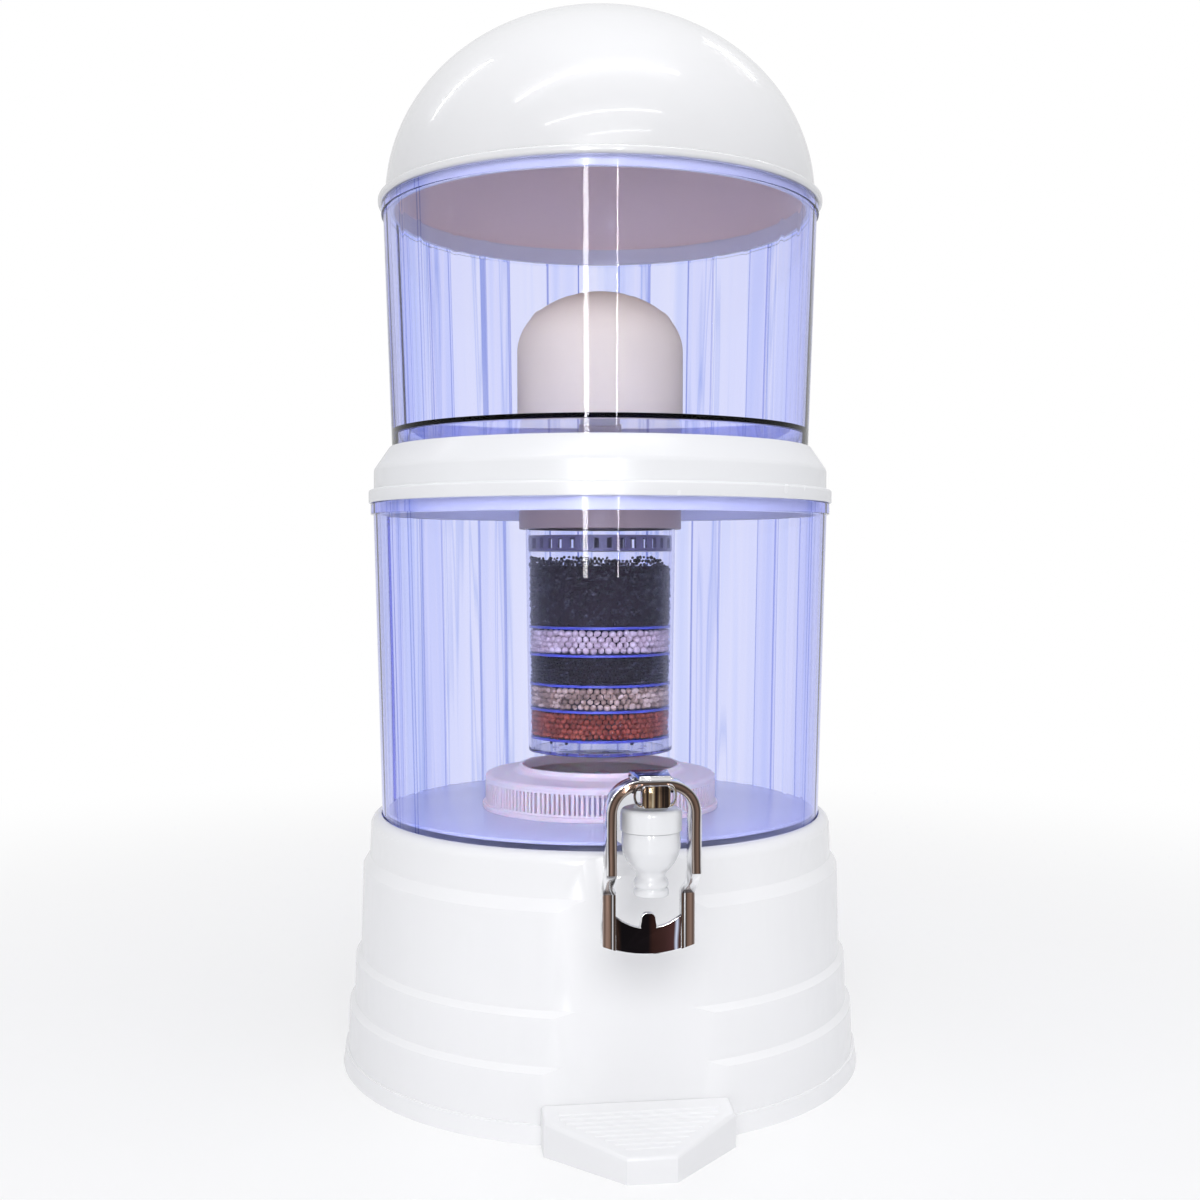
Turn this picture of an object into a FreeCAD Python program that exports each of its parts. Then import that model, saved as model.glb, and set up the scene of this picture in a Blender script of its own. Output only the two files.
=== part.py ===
import FreeCAD, Part
import math
import os
import re

import Sketcher

# Gravity water filter with tap: two clear fluted tanks on a stepped white base, with a ceramic
# dome in the upper tank, a layered cartridge under it and a push-lever tap on the lower tank.
# Millimetres. +Z is up, the tap faces -Y, and the origin is the centre of the base's foot.

V = FreeCAD.Vector
doc = FreeCAD.newDocument("water_filter")
sheet = doc.addObject("Spreadsheet::Sheet", "Sizes")


class Size:
    """A length with its value now and the sheet formula that gives it."""

    def __init__(self, value, formula):
        self.value = float(value)
        self.formula = formula

    def join(self, other, sign, swapped=False):
        other = other if isinstance(other, Size) else Size(other, repr(float(other)))
        left, right = (other, self) if swapped else (self, other)
        results = {"+": lambda a, b: a + b, "-": lambda a, b: a - b,
                   "*": lambda a, b: a * b, "/": lambda a, b: a / b}
        value = results[sign](left.value, right.value)
        return Size(value, f"({left.formula} {sign} {right.formula})")

    def __add__(self, other):
        return self.join(other, "+")

    def __radd__(self, other):
        return self.join(other, "+", True)

    def __sub__(self, other):
        return self.join(other, "-")

    def __rsub__(self, other):
        return self.join(other, "-", True)

    def __mul__(self, other):
        return self.join(other, "*")

    def __rmul__(self, other):
        return self.join(other, "*", True)

    def __truediv__(self, other):
        return self.join(other, "/")

    def __rtruediv__(self, other):
        return self.join(other, "/", True)

    def __neg__(self):
        return self * -1


def sized(number):
    return number if isinstance(number, Size) else Size(number, repr(float(number)))


def root(size):
    return Size(math.sqrt(size.value), f"sqrt({size.formula})")


def least(first, second):
    first, second = sized(first), sized(second)
    return Size(min(first.value, second.value), f"min({first.formula}; {second.formula})")


def dimension(name, value):
    """Write one driving dimension into the sheet and give it back."""
    dimension.rows += 1
    sheet.set(f"A{dimension.rows}", name)
    sheet.set(f"B{dimension.rows}", str(value))
    sheet.setAlias(f"B{dimension.rows}", name)
    return Size(value, f"Sizes.{name}")


dimension.rows = 0


def bind(thing, path, size):
    size = sized(size)
    if "." not in path and "[" not in path:
        setattr(thing, path, size.value)
    if "Sizes." in size.formula:
        thing.setExpression(path, size.formula)


def place(thing, x=0, y=0, z=0, turn=None):
    """Put a thing at a point, turned about an axis by an angle in degrees."""
    rotation = FreeCAD.Rotation(V(*turn[0]), sized(turn[1]).value) if turn else FreeCAD.Rotation()
    where = [sized(x), sized(y), sized(z)]
    thing.Placement = FreeCAD.Placement(V(*[w.value for w in where]), rotation)
    for letter, size in zip("xyz", where):
        bind(thing, f"Placement.Base.{letter}", size)
    if turn and "Sizes." in sized(turn[1]).formula:
        thing.setExpression("Placement.Rotation.Angle", sized(turn[1]).formula)
    return thing


def outline(body, role, corners):
    """A closed sketch on one of the body's planes. A corner is (across, up), or
    (across, up, radius) where the edge that arrives there is an arc, and a radius
    below zero bends the arc to the right of its travel."""
    plane = [feature for feature in body.Origin.OriginFeatures if feature.Role == role][0]
    sketch = body.newObject("Sketcher::SketchObject", body.Name + "_outline")
    sketch.AttachmentSupport = [(plane, "")]
    sketch.MapMode = "FlatFace"
    corners = [tuple(sized(number) for number in corner) for corner in corners]
    points = [V(corner[0].value, corner[1].value, 0) for corner in corners]
    count = len(corners)
    arrive, leave = {}, {}
    radii = []
    for index, corner in enumerate(corners):
        start, end = points[index - 1], points[index]
        ends = (1, 2)
        if len(corner) == 3:
            bend = corner[2].value
            along = (end - start).normalize()
            left = V(-along.y, along.x, 0)
            half = (end - start).Length / 2
            drop = math.sqrt(max(bend * bend - half * half, 0.0))
            centre = (start + end) * 0.5 - left * math.copysign(drop, bend)
            circle = Part.Circle(centre, V(0, 0, 1), abs(bend))
            first, last = (end, start) if bend > 0 else (start, end)
            ends = (2, 1) if bend > 0 else (1, 2)
            first_angle = math.atan2(first.y - centre.y, first.x - centre.x)
            last_angle = math.atan2(last.y - centre.y, last.x - centre.x)
            edge = sketch.addGeometry(Part.ArcOfCircle(circle, first_angle, last_angle), False)
            radii.append((edge, corner[2]))
        else:
            edge = sketch.addGeometry(Part.LineSegment(start, end), False)
        leave[index - 1 if index else count - 1] = (edge, ends[0])
        arrive[index] = (edge, ends[1])
    for index, corner in enumerate(corners):
        edge, end = arrive[index]
        sketch.addConstraint(Sketcher.Constraint("Coincident", edge, end, *leave[index]))
        for kind, size in (("DistanceX", corner[0]), ("DistanceY", corner[1])):
            number = sketch.addConstraint(Sketcher.Constraint(kind, -1, 1, edge, end, size.value))
            bind(sketch, f"Constraints[{number}]", size)
    for edge, bend in radii:
        bend = bend if bend.value > 0 else -bend
        number = sketch.addConstraint(Sketcher.Constraint("Radius", edge, bend.value))
        bind(sketch, f"Constraints[{number}]", bend)
    return sketch


def turned(name, corners):
    """A solid of revolution about the upright axis, from (radius, height) corners."""
    body = doc.addObject("PartDesign::Body", name)
    sketch = outline(body, "XZ_Plane", corners)
    feature = body.newObject("PartDesign::Revolution", name + "_turned")
    feature.Profile = sketch
    feature.ReferenceAxis = (sketch, ["V_Axis"])
    feature.Angle = 360
    doc.recompute()
    return body


def pad(name, role, corners, length):
    """A solid of one outline, half of its length on each side of the plane."""
    body = doc.addObject("PartDesign::Body", name)
    sketch = outline(body, role, corners)
    feature = body.newObject("PartDesign::Pad", name + "_pad")
    feature.Profile = sketch
    bind(feature, "Length", length)
    feature.Midplane = True
    doc.recompute()
    return body


def repeated_groove(body, corners, angle, count, start=None):
    """Cut a sector of a ring out of the body, and repeat it round the upright axis."""
    sketch = outline(body, "XZ_Plane", corners)
    if start is not None:
        sketch.AttachmentOffset = FreeCAD.Placement(V(), FreeCAD.Rotation(V(0, 1, 0), start.value))
        bind(sketch, "AttachmentOffset.Rotation.Angle", start)
    groove = body.newObject("PartDesign::Groove", body.Name + "_groove")
    groove.Profile = sketch
    groove.ReferenceAxis = (sketch, ["V_Axis"])
    groove.Midplane = True
    bind(groove, "Angle", angle)
    before = body.Shape.Volume
    doc.recompute()
    if body.Shape.Volume >= before:
        raise ValueError(f"the groove cuts nothing from {body.Name}")
    ring = body.newObject("PartDesign::PolarPattern", body.Name + "_ring")
    ring.Originals = [groove]
    ring.Axis = (sketch, ["V_Axis"])
    ring.Angle = 360
    ring.Occurrences = int(count.value)
    ring.setExpression("Occurrences", count.formula)
    body.Tip = ring
    doc.recompute()
    return body


def rod(name, radius, length, x=0, y=0, z=0, turn=None):
    thing = doc.addObject("Part::Cylinder", name)
    bind(thing, "Radius", radius)
    bind(thing, "Height", length)
    return place(thing, x, y, z, turn)


def block(name, size_x, size_y, size_z, x, y, z, turn=None):
    thing = doc.addObject("Part::Box", name)
    bind(thing, "Length", size_x)
    bind(thing, "Width", size_y)
    bind(thing, "Height", size_z)
    return place(thing, x, y, z, turn)


def half_dome(name, radius, height, z):
    thing = doc.addObject("Part::Ellipsoid", name)
    bind(thing, "Radius1", height)
    bind(thing, "Radius2", radius)
    bind(thing, "Radius3", radius)
    thing.Angle1 = 0
    thing.Angle2 = 90
    return place(thing, z=z)


def joined(name, things):
    result = doc.addObject("Part::MultiFuse", name)
    result.Shapes = things
    result.Refine = True
    doc.recompute()
    return result


def cut(name, base, tools):
    tool = tools[0] if len(tools) == 1 else joined(name + "_tools", tools)
    result = doc.addObject("Part::Cut", name)
    result.Base = base
    result.Tool = tool
    result.Refine = True
    doc.recompute()
    if result.Shape.Volume >= base.Shape.Volume:
        raise ValueError(f"the cut takes nothing from {name}")
    return result


def common(name, first, second):
    result = doc.addObject("Part::Common", name)
    result.Base = first
    result.Tool = second
    doc.recompute()
    return result


def rounded(name, base, radius, chosen):
    """Fillet the edges of base for which chosen(edge) is true."""
    result = doc.addObject("Part::Fillet", name)
    result.Base = base
    numbers = [index + 1 for index, edge in enumerate(base.Shape.Edges) if chosen(edge)]
    if not numbers:
        raise ValueError(f"no edge to round on {name}")
    result.Edges = [(number, radius.value, radius.value) for number in numbers]
    doc.recompute()
    return result


pieces = []


def keep(thing, label):
    thing.Label = label
    pieces.append(thing)
    return thing


def near(first, second, within=0.05):
    return abs(first - sized(second).value) < within


TOWARDS_FRONT = ((1, 0, 0), 90)
TOWARDS_RIGHT = ((0, 1, 0), 90)

# Driving dimensions, one sheet cell each.

# Base shell
foot_radius = dimension("foot_radius", 150.0)
foot_band_height = dimension("foot_band_height", 9.5)
foot_band_step = dimension("foot_band_step", 1.3)
lower_ledge_z = dimension("lower_ledge_z", 34.0)
middle_ledge_z = dimension("middle_ledge_z", 61.0)
upper_ledge_z = dimension("upper_ledge_z", 113.0)
ledge_step = dimension("ledge_step", 3.0)
upper_ledge_step = dimension("upper_ledge_step", 3.7)
upper_ledge_rise = dimension("upper_ledge_rise", 6.0)
tier_draft = dimension("tier_draft", 1.0)
base_height = dimension("base_height", 142.0)
base_rim_round = dimension("base_rim_round", 6.5)
base_wall = dimension("base_wall", 2.6)
deck_drop = dimension("deck_drop", 4.0)
deck_opening_radius = dimension("deck_opening_radius", 82.0)
tank_seat_gap = dimension("tank_seat_gap", 0.6)
panel_inset = dimension("panel_inset", 8.6)
panel_slope = dimension("panel_slope", 0.075)
base_rib_count = dimension("base_rib_count", 8)
base_rib_depth = dimension("base_rib_depth", 12.0)

# Lower tank, and the flutes and walls of both tanks
tank_bottom_radius = dimension("tank_bottom_radius", 127.2)
tank_top_radius = dimension("tank_top_radius", 131.5)
tank_wall = dimension("tank_wall", 3.2)
tank_height = dimension("tank_height", 182.5)
tank_rim_height = dimension("tank_rim_height", 6.5)
tank_rim_width = dimension("tank_rim_width", 1.6)
tank_floor_lift = dimension("tank_floor_lift", 4.5)
tank_floor_thickness = dimension("tank_floor_thickness", 3.5)
flute_count = dimension("flute_count", 16)
flute_angle = dimension("flute_angle", 13.0)
flute_depth = dimension("flute_depth", 0.9)
flute_turn = dimension("flute_turn", 15.75)
flute_margin = dimension("flute_margin", 5.0)
tongue_width = dimension("tongue_width", 12.0)
tongue_height = dimension("tongue_height", 3.0)
tongue_reach = dimension("tongue_reach", 7.0)
tongue_spacing = dimension("tongue_spacing", 52.0)
tongue_z = dimension("tongue_z", 6.0)
tongue_gap = dimension("tongue_gap", 0.3)
shelf_gap = dimension("shelf_gap", 0.3)

# Drip shelf
shelf_width = dimension("shelf_width", 95.0)
shelf_nose_width = dimension("shelf_nose_width", 24.0)
shelf_depth = dimension("shelf_depth", 50.0)
shelf_side_depth = dimension("shelf_side_depth", 14.0)
shelf_back_height = dimension("shelf_back_height", 19.0)
shelf_front_height = dimension("shelf_front_height", 12.7)
shelf_wall = dimension("shelf_wall", 2.4)
shelf_round = dimension("shelf_round", 2.2)
ridge_count = dimension("ridge_count", 9)
ridge_radius = dimension("ridge_radius", 1.0)
ridge_inset = dimension("ridge_inset", 8.0)
ridge_rise = dimension("ridge_rise", 0.5)

# Tap seat
tap_height = dimension("tap_height", 159.5)
tap_reach = dimension("tap_reach", 186.0)
shank_radius = dimension("shank_radius", 8.0)
shank_gap = dimension("shank_gap", 0.4)
pad_radius = dimension("pad_radius", 15.0)
pad_proud = dimension("pad_proud", 2.3)
pad_inside = dimension("pad_inside", 1.3)

# Mineral case
case_flange_radius = dimension("case_flange_radius", 70.0)
case_radius = dimension("case_radius", 67.7)
case_wall = dimension("case_wall", 2.0)
case_drum_height = dimension("case_drum_height", 16.5)
case_shoulder_rise = dimension("case_shoulder_rise", 3.7)
neck_radius = dimension("neck_radius", 47.9)
neck_wall = dimension("neck_wall", 2.6)
neck_height = dimension("neck_height", 3.8)
case_slot_count = dimension("case_slot_count", 60)
case_slot_angle = dimension("case_slot_angle", 2.2)
case_slot_margin = dimension("case_slot_margin", 1.5)
cover_spigot = dimension("cover_spigot", 3.0)
cover_gap = dimension("cover_gap", 0.3)
stone_radius = dimension("stone_radius", 7.0)
stone_height = dimension("stone_height", 4.8)
stone_count = dimension("stone_count", 20)
stone_gap = dimension("stone_gap", 0.3)

# Collar ring
collar_radius = dimension("collar_radius", 134.3)
collar_flange_height = dimension("collar_flange_height", 7.5)
collar_band_step = dimension("collar_band_step", 3.0)
collar_band_height = dimension("collar_band_height", 11.5)
collar_cone_rise = dimension("collar_cone_rise", 13.0)
collar_lip = dimension("collar_lip", 1.2)
collar_wall = dimension("collar_wall", 2.4)
collar_plug_depth = dimension("collar_plug_depth", 7.0)
collar_plug_gap = dimension("collar_plug_gap", 0.5)
collar_bore_gap = dimension("collar_bore_gap", 0.35)
collar_ledge_depth = dimension("collar_ledge_depth", 9.0)
collar_ledge_width = dimension("collar_ledge_width", 8.0)
upper_bottom_radius = dimension("upper_bottom_radius", 120.5)
upper_top_radius = dimension("upper_top_radius", 125.2)
upper_height = dimension("upper_height", 146.8)
upper_rim_height = dimension("upper_rim_height", 5.5)
upper_rim_width = dimension("upper_rim_width", 1.2)
upper_skirt_depth = dimension("upper_skirt_depth", 17.0)
upper_floor_thickness = dimension("upper_floor_thickness", 2.5)

# Upper tank
stud_radius = dimension("stud_radius", 6.0)
stud_gap = dimension("stud_gap", 0.4)

# Ceramic dome on its glued base plate, whose hollow stud goes down through the floor
dome_radius = dimension("dome_radius", 48.5)
dome_straight = dimension("dome_straight", 46.0)
dome_crown = dimension("dome_crown", 34.5)
dome_wall = dimension("dome_wall", 8.5)
dome_plate = dimension("dome_plate", 1.2)
dome_plug_height = dimension("dome_plug_height", 8.0)
dome_glue_gap = dimension("dome_glue_gap", 0.2)
stud_length = dimension("stud_length", 26.0)
stud_bore = dimension("stud_bore", 3.0)
washer_radius = dimension("washer_radius", 15.0)
washer_thickness = dimension("washer_thickness", 1.4)
seal_thickness = dimension("seal_thickness", 2.0)
head_hub_radius = dimension("head_hub_radius", 12.5)

# Cartridge
head_radius = dimension("head_radius", 47.5)
head_wall = dimension("head_wall", 2.4)
head_skirt = dimension("head_skirt", 27.0)
hub_height = dimension("hub_height", 25.5)
shell_top_radius = dimension("shell_top_radius", 43.5)
shell_bottom_radius = dimension("shell_bottom_radius", 41.5)
shell_wall = dimension("shell_wall", 1.8)
shell_length = dimension("shell_length", 126.0)
layer_gap = dimension("layer_gap", 0.2)
screen_thickness = dimension("screen_thickness", 1.4)
cap_thickness = dimension("cap_thickness", 2.0)
cap_ring_height = dimension("cap_ring_height", 5.8)
outlet_count = dimension("outlet_count", 12)
outlet_radius = dimension("outlet_radius", 2.0)
outlet_circle = dimension("outlet_circle", 26.0)
strainer_height = dimension("strainer_height", 9.0)
strainer_wall = dimension("strainer_wall", 1.6)
strainer_slot_count = dimension("strainer_slot_count", 36)
strainer_slot_angle = dimension("strainer_slot_angle", 4.0)
strainer_lift = dimension("strainer_lift", 0.8)

layer_depths = {
    "red_ball_bed": dimension("red_ball_depth", 15.2),
    "beige_ball_bed": dimension("beige_ball_depth", 13.0),
    "black_granule_bed": dimension("black_granule_depth", 15.6),
    "pale_ball_bed": dimension("pale_ball_depth", 14.2),
    "carbon_bed": dimension("carbon_depth", 41.8),
}

# Lid
lid_radius = dimension("lid_radius", 124.0)
lid_crown = dimension("lid_crown", 106.7)
lid_bead_radius = dimension("lid_bead_radius", 128.3)
lid_bead_height = dimension("lid_bead_height", 4.6)
lid_bead_round = dimension("lid_bead_round", 1.9)
lid_wall = dimension("lid_wall", 2.5)
lid_plug_depth = dimension("lid_plug_depth", 5.0)
lid_plug_gap = dimension("lid_plug_gap", 0.5)

# Tap body
bulb_radius = dimension("bulb_radius", 13.4)
bulb_bottom_z = dimension("bulb_bottom_z", 144.3)
bulb_side_z = dimension("bulb_side_z", 157.5)
spout_neck_radius = dimension("spout_neck_radius", 6.8)
spout_ring_radius = dimension("spout_ring_radius", 8.2)
spout_bore = dimension("spout_bore", 4.2)
spout_z = dimension("spout_z", 133.5)
valve_seat_z = dimension("valve_seat_z", 150.5)
valve_gap = dimension("valve_gap", 0.3)
chamber_radius = dimension("chamber_radius", 9.4)
bonnet_seat_z = dimension("bonnet_seat_z", 163.8)
tap_thread_radius = dimension("tap_thread_radius", 11.3)
tap_thread_height = dimension("tap_thread_height", 5.5)
gasket_thickness = dimension("gasket_thickness", 2.0)
tap_flange_radius = dimension("tap_flange_radius", 14.0)
tap_flange_thickness = dimension("tap_flange_thickness", 3.0)
arm_radius = dimension("arm_radius", 5.6)
arm_drop = dimension("arm_drop", 2.0)
waterway_radius = dimension("waterway_radius", 3.5)
nut_thickness = dimension("nut_thickness", 8.0)
inner_washer_thickness = dimension("inner_washer_thickness", 1.6)
shank_end_length = dimension("shank_end_length", 3.0)

# Tap fixing
nut_radius = dimension("nut_radius", 14.0)

# Bonnet
bonnet_radius = dimension("bonnet_radius", 14.3)
bonnet_height = dimension("bonnet_height", 11.9)
bonnet_lip_radius = dimension("bonnet_lip_radius", 7.6)
bonnet_lip_rise = dimension("bonnet_lip_rise", 1.4)
bonnet_top = dimension("bonnet_top", 4.0)
bonnet_corner = dimension("bonnet_corner", 2.2)
stem_radius = dimension("stem_radius", 2.2)
stem_gap = dimension("stem_gap", 0.08)

# Plunger
seal_radius = dimension("seal_radius", 7.6)
plunger_seal_height = dimension("plunger_seal_height", 5.0)
seal_tip_radius = dimension("seal_tip_radius", 3.6)
pin_radius = dimension("pin_radius", 1.2)
pin_height = dimension("pin_height", 184.6)
stem_head_radius = dimension("stem_head_radius", 3.2)
stem_head_rise = dimension("stem_head_rise", 2.6)
spring_radius = dimension("spring_radius", 4.6)
spring_wire = dimension("spring_wire", 0.5)
spring_turns = dimension("spring_turns", 4)

# Lever
lever_half_width = dimension("lever_half_width", 21.9)
lever_bar = dimension("lever_bar", 5.0)
lever_front = dimension("lever_front", 196.0)
lever_bar_depth = dimension("lever_bar_depth", 13.0)
lever_lower_front = dimension("lever_lower_front", 179.8)
lever_lower_depth = dimension("lever_lower_depth", 6.5)
lever_top_z = dimension("lever_top_z", 188.2)
lever_rear_rise = dimension("lever_rear_rise", 2.6)
lever_step_top_z = dimension("lever_step_top_z", 145.0)
lever_step_bottom_z = dimension("lever_step_bottom_z", 132.3)
lever_foot_z = dimension("lever_foot_z", 108.0)
lever_foot_drop = dimension("lever_foot_drop", 4.5)
arch_radius = dimension("arch_radius", 15.5)
plate_top_z = dimension("plate_top_z", 123.2)
plate_dip = dimension("plate_dip", 7.0)
plate_thickness = dimension("plate_thickness", 2.6)
plate_tab_top = dimension("plate_tab_top", 3.0)
plate_tab_foot = dimension("plate_tab_foot", 7.4)
heel_distance = dimension("heel_distance", 199.3)
heel_gap = dimension("heel_gap", 0.3)
heel_radius = dimension("heel_radius", 2.4)
heel_half_width = dimension("heel_half_width", 6.2)
hub_half_width = dimension("hub_half_width", 8.5)
hub_back = dimension("hub_back", 177.5)
head_room = dimension("head_room", 1.4)

doc.recompute()

# Base shell: outer steps, wall, deck and the flat front panel.

deck_z = base_height - deck_drop
panel_distance = foot_radius - panel_inset
tank_floor_z = deck_z + tank_floor_lift + tank_floor_thickness
tank_top_z = deck_z + tank_height
seat_radius = tank_bottom_radius + tank_seat_gap

lower_tier_top = foot_radius - foot_band_step - foot_band_step - tier_draft
middle_tier_top = lower_tier_top - ledge_step - 0.7 * tier_draft
upper_tier_bottom = middle_tier_top - ledge_step - 1.5 * tier_draft
rim_bottom_radius = upper_tier_bottom - upper_ledge_step
rim_radius = rim_bottom_radius - tier_draft


def base_steps(inset, top_z, foot_z):
    """The stepped outline of the base, drawn in by the wall for the inside."""
    return [
        (0, foot_z),
        (foot_radius - inset, foot_z),
        (foot_radius - foot_band_step - inset, foot_band_height),
        (foot_radius - 2 * foot_band_step - inset, foot_band_height),
        (lower_tier_top - inset, lower_ledge_z),
        (lower_tier_top - ledge_step - inset, lower_ledge_z + ledge_step),
        (middle_tier_top - inset, middle_ledge_z),
        (middle_tier_top - ledge_step - inset, middle_ledge_z + ledge_step),
        (upper_tier_bottom - inset, upper_ledge_z),
        (rim_bottom_radius - inset, upper_ledge_z + upper_ledge_rise),
        (rim_radius - inset, top_z),
        (0, top_z),
    ]


def front_trim(name, distance):
    """The space in front of the sloped front panel."""
    top_z, foot_z = base_height * 1.2, -base_height * 0.1
    return pad(name, "YZ_Plane", [
        (-distance - foot_radius, foot_z),
        (-distance + panel_slope * foot_z, foot_z),
        (-distance + panel_slope * top_z, top_z),
        (-distance - foot_radius, top_z),
    ], foot_radius)


outer_core = turned("base_outer", base_steps(0, base_height, 0))
outer_core = rounded("base_outer_round", outer_core, base_rim_round,
                     lambda edge: near(edge.BoundBox.ZMin, base_height)
                     and near(edge.BoundBox.ZMax, base_height))
outer_trimmed = cut("base_outer_trimmed", outer_core, [front_trim("panel_outside", panel_distance)])
inner_core = turned("base_inner", base_steps(base_wall, deck_z - base_wall, -1))
inner_trimmed = cut("base_inner_trimmed", inner_core,
                    [front_trim("panel_inside", panel_distance - base_wall)])
tank_recess = rod("tank_recess", seat_radius, deck_drop + 1, z=deck_z)
deck_opening = rod("deck_opening", deck_opening_radius, base_height, z=deck_z - base_height / 2)

slots = []
for side in (-1, 1):
    slots.append(block(f"tongue_slot_{side + 2}", tongue_width + 2 * tongue_gap, 20,
                       tongue_height + 2 * tongue_gap,
                       side * tongue_spacing / 2 - tongue_width / 2 - tongue_gap,
                       -panel_distance - 10, tongue_z - tongue_gap))
shell = cut("base_shell_cut", outer_trimmed, [inner_trimmed, tank_recess, deck_opening] + slots)
ribs = []
rib_length = rim_radius - base_wall / 2 - deck_opening_radius
for index in range(int(base_rib_count.value)):
    angle = 360.0 / base_rib_count.value * (index + 0.5)
    rib = block(f"base_rib_{index}", rib_length, base_wall, base_rib_depth, 0, 0, 0)
    turn = FreeCAD.Rotation(V(0, 0, 1), angle)
    along, aside = turn.multVec(V(1, 0, 0)), turn.multVec(V(0, 1, 0))
    rib.Placement = FreeCAD.Placement(V(), turn)
    bind(rib, "Placement.Base.x", deck_opening_radius * along.x - base_wall / 2 * aside.x)
    bind(rib, "Placement.Base.y", deck_opening_radius * along.y - base_wall / 2 * aside.y)
    bind(rib, "Placement.Base.z", deck_z - base_wall - base_rib_depth)
    ribs.append(rib)
keep(joined("base_shell_whole", [shell] + ribs), "base_shell")

# Drip shelf: plan and side outlines crossed, hollow below, with ridges and two tongues.

shelf_back = -panel_distance - shelf_gap
shelf_front = shelf_back - shelf_depth
shelf_shoulder = shelf_back - shelf_side_depth
shelf_slope = (shelf_back_height - shelf_front_height) / shelf_depth


def shelf_form(name, inset, foot_z):
    """The shelf's block, drawn in by the wall for the inside."""
    half, nose = shelf_width / 2 - inset, shelf_nose_width / 2 - 0.4 * inset
    plan = pad(name + "_plan", "XY_Plane", [
        (-half, shelf_back + 10),
        (-half, shelf_shoulder + 0.35 * inset),
        (-nose, shelf_front + inset),
        (nose, shelf_front + inset),
        (half, shelf_shoulder + 0.35 * inset),
        (half, shelf_back + 10),
    ], shelf_back_height * 3)
    side = pad(name + "_side", "YZ_Plane", [
        (shelf_back - inset, foot_z),
        (shelf_back + panel_slope * shelf_back_height - inset, shelf_back_height - inset),
        (shelf_front - 10, shelf_front_height - inset - 10 * shelf_slope),
        (shelf_front - 10, foot_z),
    ], shelf_width * 2)
    return common(name, plan, side)


shelf_outer = shelf_form("shelf_outer", 0, 0)
shelf_outer = rounded("shelf_outer_round", shelf_outer, shelf_round,
                      lambda edge: edge.BoundBox.ZMin > 1.0
                      and not near(edge.BoundBox.YMax, edge.BoundBox.YMin, 1e-6)
                      or near(edge.BoundBox.YMin, shelf_front)
                      and near(edge.BoundBox.YMax, shelf_front) and edge.BoundBox.ZMin > 1.0)
shelf_parts = [cut("shelf_shell", shelf_outer, [shelf_form("shelf_inner", shelf_wall, -1)])]
ridge_zone = shelf_depth - 2 * ridge_inset
for index in range(int(ridge_count.value)):
    ridge_y = shelf_back - ridge_inset - ridge_zone * (index / (ridge_count.value - 1))
    taper = (shelf_width - shelf_nose_width) / 2 / (shelf_depth - shelf_side_depth)
    half = least(shelf_width / 2, shelf_nose_width / 2 + (ridge_y - shelf_front) * taper)
    half = half - ridge_inset
    ridge_z = shelf_back_height + (ridge_y - shelf_back) * shelf_slope + ridge_rise - ridge_radius
    shelf_parts.append(rod(f"ridge_{index}", ridge_radius, 2 * half, -half, ridge_y, ridge_z,
                           TOWARDS_RIGHT))
for side in (-1, 1):
    shelf_parts.append(block(f"tongue_{side + 2}", tongue_width, tongue_reach + shelf_wall,
                             tongue_height, side * tongue_spacing / 2 - tongue_width / 2,
                             shelf_back - shelf_wall, tongue_z))
keep(joined("drip_shelf_whole", shelf_parts), "drip_shelf")


def fluted_tank(name, corners, bottom, top, bottom_z, top_z):
    """A clear tank with shallow flutes moulded in its inner wall."""
    tank = turned(name, corners)
    slope = (top - bottom) / (top_z - bottom_z)
    low, high = flute_span[name]
    low_radius = bottom + slope * (low - bottom_z) - tank_wall
    high_radius = bottom + slope * (high - bottom_z) - tank_wall
    return repeated_groove(tank, [
        (low_radius - 2, low),
        (low_radius + flute_depth, low),
        (high_radius + flute_depth, high),
        (high_radius - 2, high),
    ], flute_angle, flute_count, flute_turn)


flute_span = {"lower_tank_form": (tank_floor_z + flute_margin,
                                  tank_top_z - tank_rim_height - flute_margin)}

tank_slope = (tank_top_radius - tank_bottom_radius) / (tank_height - tank_rim_height)


def tank_radius(height):
    return tank_bottom_radius + tank_slope * (height - deck_z)


rim_outer = tank_top_radius + tank_rim_width
lower_tank = fluted_tank("lower_tank_form", [
    (tank_bottom_radius, deck_z),
    (tank_top_radius, tank_top_z - tank_rim_height),
    (rim_outer, tank_top_z - tank_rim_height),
    (rim_outer, tank_top_z),
    (tank_top_radius - tank_wall, tank_top_z),
    (tank_radius(tank_floor_z) - tank_wall, tank_floor_z),
    (0, tank_floor_z),
    (0, tank_floor_z - tank_floor_thickness),
    (tank_bottom_radius - tank_wall, tank_floor_z - tank_floor_thickness),
    (tank_bottom_radius - tank_wall, deck_z),
], tank_bottom_radius, tank_top_radius, deck_z, tank_top_z - tank_rim_height)

# Tap seat: a flat round pad through the tank wall, bored for the shank.

seat_face = tank_radius(tap_height) + pad_proud
inner_face = tank_radius(tap_height) - tank_wall - pad_inside
tap_pad = rod("tap_pad", pad_radius, seat_face - inner_face, y=-inner_face, z=tap_height,
              turn=TOWARDS_FRONT)
tap_bore = rod("tap_bore", shank_radius + shank_gap, seat_face, y=-inner_face + 20, z=tap_height,
               turn=TOWARDS_FRONT)
padded = joined("lower_tank_padded", [lower_tank, tap_pad])
keep(cut("lower_tank_bored", padded, [tap_bore]), "lower_tank")

# Mineral case: a slotted drum and a cover with an open neck, on the lower tank's floor.

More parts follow.
